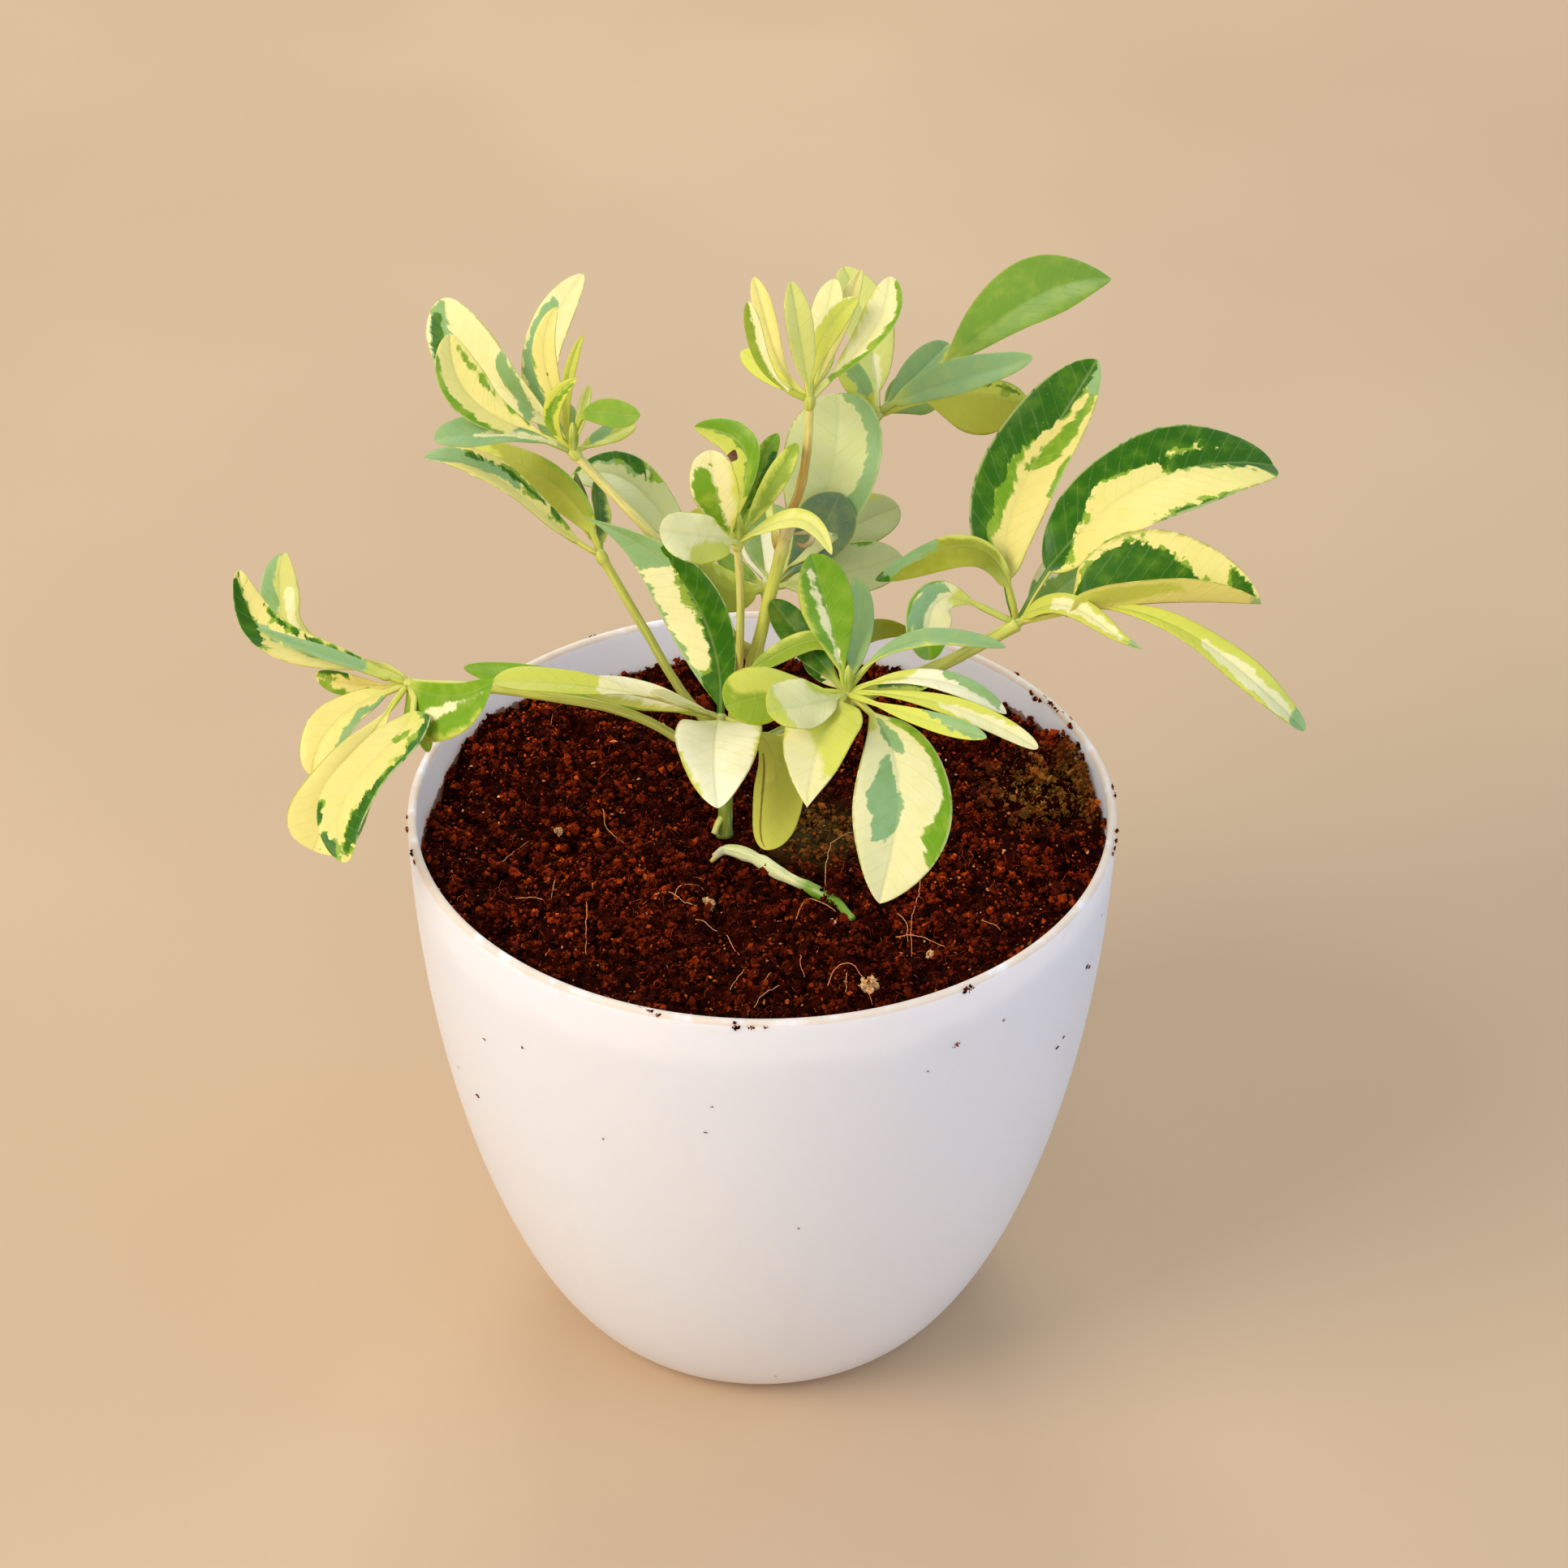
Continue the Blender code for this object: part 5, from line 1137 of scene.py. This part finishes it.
# Lumps of old potting mix: grains packed over a ball
lumps = np.array(LUMPS)
each = 60
ball = rng.normal(size=(len(lumps), each, 3))
ball /= np.linalg.norm(ball, axis=2)[..., None]
ball *= (lumps[:, 2, None] * rng.uniform(0.6, 0.95, (len(lumps), each)))[..., None]
base = np.column_stack([lumps[:, :2], rough_soil(lumps[:, 0], lumps[:, 1]) + lumps[:, 2] * 0.9])
centres = (base[:, None] + ball).reshape(-1, 3)
sizes = np.repeat(lumps[:, 2] * 0.3, each) * rng.uniform(0.6, 1.2, len(centres))
points, faces = crumbs(centres, sizes, rng)
tints = linear("straw_root") * rng.uniform(0.5, 1.4, (len(centres), 1))
piece("old_lumps", points, faces, grains, {"tint": np.repeat(tints, 6, 0)}, smooth=False)

# Dirt on the lip, inside the back wall and on the shell: a dozen grains at each place
places = np.array(DIRT)
each = 12
turn_at = np.repeat(np.radians(places[:, 0]), each)
size_at = np.repeat(places[:, 3], each)
height = np.repeat(places[:, 1], each) + rng.normal(0, 0.34, len(turn_at)) * size_at
height = np.minimum(height, POT_HEIGHT - 0.1)
turn_at = turn_at + rng.normal(0, 0.0065, len(turn_at)) * size_at
out = pot_radius(height) + np.repeat(places[:, 2], each)
centres = np.stack([out * np.cos(turn_at), out * np.sin(turn_at), height], -1)
sizes = size_at * rng.uniform(0.18, 0.5, len(turn_at))
points, faces = crumbs(centres, sizes, rng)
tints = EARTHS[rng.choice(4, len(turn_at), p=[0.15, 0.45, 0.3, 0.1])]
piece("rim_dirt", points, faces, grains, {"tint": np.repeat(tints, 6, 0)}, smooth=False)

# Main stem with its swollen joints, the cut stub at the foot, and the papery sheath and bract near the top
heap = Heap()
path, run = smooth_path(STEM, 110)
radii = np.interp(path[:, 2], [p[2] for p in STEM], STEM_RADII)
joints = np.array([line[0][2] - 1.2 for line in STALKS.values()] + [146.5])
swelling = np.exp(-((path[:, 2:] - joints[None]) / 1.6) ** 2).max(1)
stops = [(0, "foot"), (0.12, "moss"), (0.28, "stalk"), (0.45, "lime"), (0.86, "lime"), (0.93, "bark"),
         (0.98, "straw"), (1, "rust")]
add_limb(heap, path, radii * (0.95 + 0.16 * swelling), stops, 1, 20, 0.06)
stub, run = smooth_path(STUB, 12)
stops = [(0, "moss"), (0.4, "lime"), (1, "bark")]
add_limb(heap, stub, np.interp(run, (0, run[-1]), (0.8, 0.65)), stops, 2, 14, 0.3)
share = np.linspace(0, 1, 14)
up = SHEATH_HEIGHT + SHEATH_LENGTH * (share - 0.4)
sheath = np.stack([np.interp(up, path[:, 2], path[:, 0]), np.interp(up, path[:, 2], path[:, 1]), up], 1)
radii = 1.3 + 0.3 * share + 0.25 * share ** 3
add_limb(heap, sheath, radii, [(0, "bark"), (1, "paper")], 3, 14, 0.12)
bract, run = smooth_path(BRACT, 30)
radii = 0.2 + 0.45 * np.sin(np.pi * (run / run[-1]) ** 1.5)
add_limb(heap, bract, radii, [(0, "straw"), (0.5, "paper"), (1, "rust")], 5, 10, 0.1)
heap.finish("stem", bark, ("main_stem",))

heap = Heap()
path, run = smooth_path(SHOOT, 60)
share = run / run[-1]
stops = [(0, "rust"), (0.3, "straw"), (0.55, "straw"), (0.75, "bark"), (1, "bark")]
add_limb(heap, path, 1.0 - 0.12 * share + 0.12 * np.exp(-((share - 0.3) / 0.05) ** 2), stops, 4)
heap.finish("shoot", bark, ("crown_shoot",))

# Leaf stalks: flared where they clasp the stem, slightly swollen under the whorl
for index, (name, line) in enumerate(STALKS.items()):
    heap = Heap()
    first, second = np.array(line[0], float), np.array(line[1], float)
    path, run = smooth_path([tuple(first - (second - first) * 0.7), *line], 90)
    share = run / run[-1]
    clasp, neck = 1 - ease(run / 5.5), ease((run - run[-1] + 3.5) / 3.5)
    radii = STALK_RADIUS[name] * (0.92 + 0.75 * clasp + 0.22 * neck)
    add_limb(heap, path, radii, list(zip((0, 0.1, 0.55, 1), STALK_TONES[name])), 10 + index)
    heap.finish("leaf_stalk_" + name, bark, ("stalk_" + name,))

# Whorls: the leaflets, a knob on the end of the stalk, and a young bud on three of them
number = 0
for name, rows in LEAFLETS.items():
    line = LOW_HUB if name == "low" else SHOOT if name == "crown" else STALKS[name]
    hub = np.array(line[-1], float)
    heap = Heap()
    for row in rows:
        number += 1
        add_blade(heap, hub, row, number)
    heap.finish("whorl_" + name, leaf, ("leaves_" + name,))
    heap = Heap()
    back = (hub - np.array(line[-2], float)) / np.linalg.norm(hub - np.array(line[-2], float))
    polar = np.linspace(0.05, np.pi - 0.05, 16)
    knob = hub - 0.6 * back - 1.5 * HUB_RADIUS * np.cos(polar)[:, None] * back
    add_limb(heap, knob, HUB_RADIUS * np.sin(polar) ** 0.8, [(0, "lime"), (1, "stalk")], 40 + number, 16, 0.1)
    if name == "low":
        path, run = smooth_path(LOW_HUB, 16)
        add_limb(heap, path, 0.95 + 0 * run, [(0, "stalk"), (1, "lime")], 50)
    if name in ("front_top", "front", "upper_left"):
        path, run = smooth_path([hub, hub + (0.3, -0.4, 3.2), hub + (0.2, -0.8, 7.5)], 18)
        radii = 1.1 * np.sin(np.pi * (0.08 + 0.9 * run / run[-1])) ** 0.7
        add_limb(heap, path, radii, [(0, "lime"), (0.5, "fresh"), (1, "lime")], 51)
    heap.finish("knob_" + name, bark)

# The cut stalk on the soil: peeled pale for most of its length, a green end going under
heap = Heap()
path = np.array([(x, y, float(soil_height(x, y)) + 1.6) for x, y in FALLEN])
path, run = smooth_path(path, 70)
share = run / run[-1]
radii = 1.35 * np.sin(np.pi * np.clip(0.1 + share * 0.86, 0, 1)) ** 0.35
stops = [(0, "paper"), (0.08, "cut"), (0.55, "cut"), (0.64, "bright"), (1, "bright")]
add_limb(heap, path, radii, stops, 60, 16, 0.22)
flap = path[2:20] + np.array([0.5, 1.1, 0.35])
radii = 0.55 * np.sin(np.pi * np.linspace(0.1, 0.95, len(flap)))
add_limb(heap, flap, radii, [(0, "lime"), (1, "cut")], 61, 10, 0.2)
torn_end = np.array([(-8.6, -6.2, 0), (-9.8, -7.2, -0.3), (-10.9, -8.2, -0.9)]) + (0, 0, path[3, 2])
torn_end, run = smooth_path(torn_end, 14)
add_limb(heap, torn_end, 0.75 - 0.35 * run / run[-1], [(0, "cut"), (1, "straw")], 62, 10, 0.4)
heap.finish("cut_stalk", bark, ("fallen_stalk",))

# Floor, lights and camera
floor_look = Look("pale_floor")
spot = floor_look.place()
ground = floor_look.noise(spot, 3.0, 3.0)
shade = floor_look.mix(floor_look.step(ground, 0.3, 0.7), (0.52, 0.37, 0.22), (0.57, 0.415, 0.255))
floor_look.feed(shade, ground * 0.1 + 0.75)
mesh = bpy.data.meshes.new("floor")
mesh.from_pydata([(-6, -6, 0), (6, -6, 0), (6, 6, 0), (-6, 6, 0)], [], [(0, 1, 2, 3)])
mesh.materials.append(floor_look.material)
floor = bpy.data.objects.new("floor", mesh)
bpy.context.scene.collection.objects.link(floor)


def area_light(name, place, target, size, power, colour):
    """A square soft light at a place in metres, turned to its target."""
    light = bpy.data.lights.new(name, "AREA")
    light.size, light.energy, light.color = size, power, colour
    obj = bpy.data.objects.new(name, light)
    obj.location = place
    obj.rotation_euler = (Vector(target) - Vector(place)).to_track_quat("-Z", "Y").to_euler()
    bpy.context.scene.collection.objects.link(obj)


area_light("key", (-0.97, -0.6, 1.02), (0, 0, 0.13), 0.7, 13.6, (1.0, 0.91, 0.85))
area_light("fill", (1.15, -0.35, 0.6), (0, 0, 0.1), 0.9, 5.6, (0.24, 0.52, 1.0))
area_light("front", (-0.15, -1.3, 0.38), (0, 0, 0.08), 1.1, 4.6, (1.0, 0.81, 0.76))
area_light("back", (-0.1, 1.1, 0.9), (0, 0, 0.17), 0.7, 7.0, (1.0, 0.96, 0.88))
world = bpy.data.worlds.new("studio")
world.use_nodes = True
world.node_tree.nodes["Background"].inputs["Color"].default_value = (0.9, 0.93, 1.0, 1)
world.node_tree.nodes["Background"].inputs["Strength"].default_value = 0.64
bpy.context.scene.world = world
bpy.context.scene.view_settings.view_transform = "Standard"

ROLL = math.radians(0.35)
EYE_DISTANCE, EYE_RIGHT, EYE_UP = 854.6, 4.6, 3.7
across = math.cos(ROLL) * RIGHT + math.sin(ROLL) * UPWARD
upright = math.cos(ROLL) * UPWARD - math.sin(ROLL) * RIGHT
eye = np.array([0, 0, POT_HEIGHT]) - DEEP * EYE_DISTANCE + across * EYE_RIGHT + upright * EYE_UP
lens = bpy.data.cameras.new("camera")
lens.sensor_width = 36.0
lens.sensor_fit = "HORIZONTAL"
lens.lens = 92.61
lens.clip_start = 0.01
camera = bpy.data.objects.new("camera", lens)
rows = [(across[k], upright[k], -DEEP[k], eye[k] * MM) for k in range(3)]
camera.matrix_world = Matrix(rows + [(0, 0, 0, 1)])
bpy.context.scene.collection.objects.link(camera)
bpy.context.scene.camera = camera
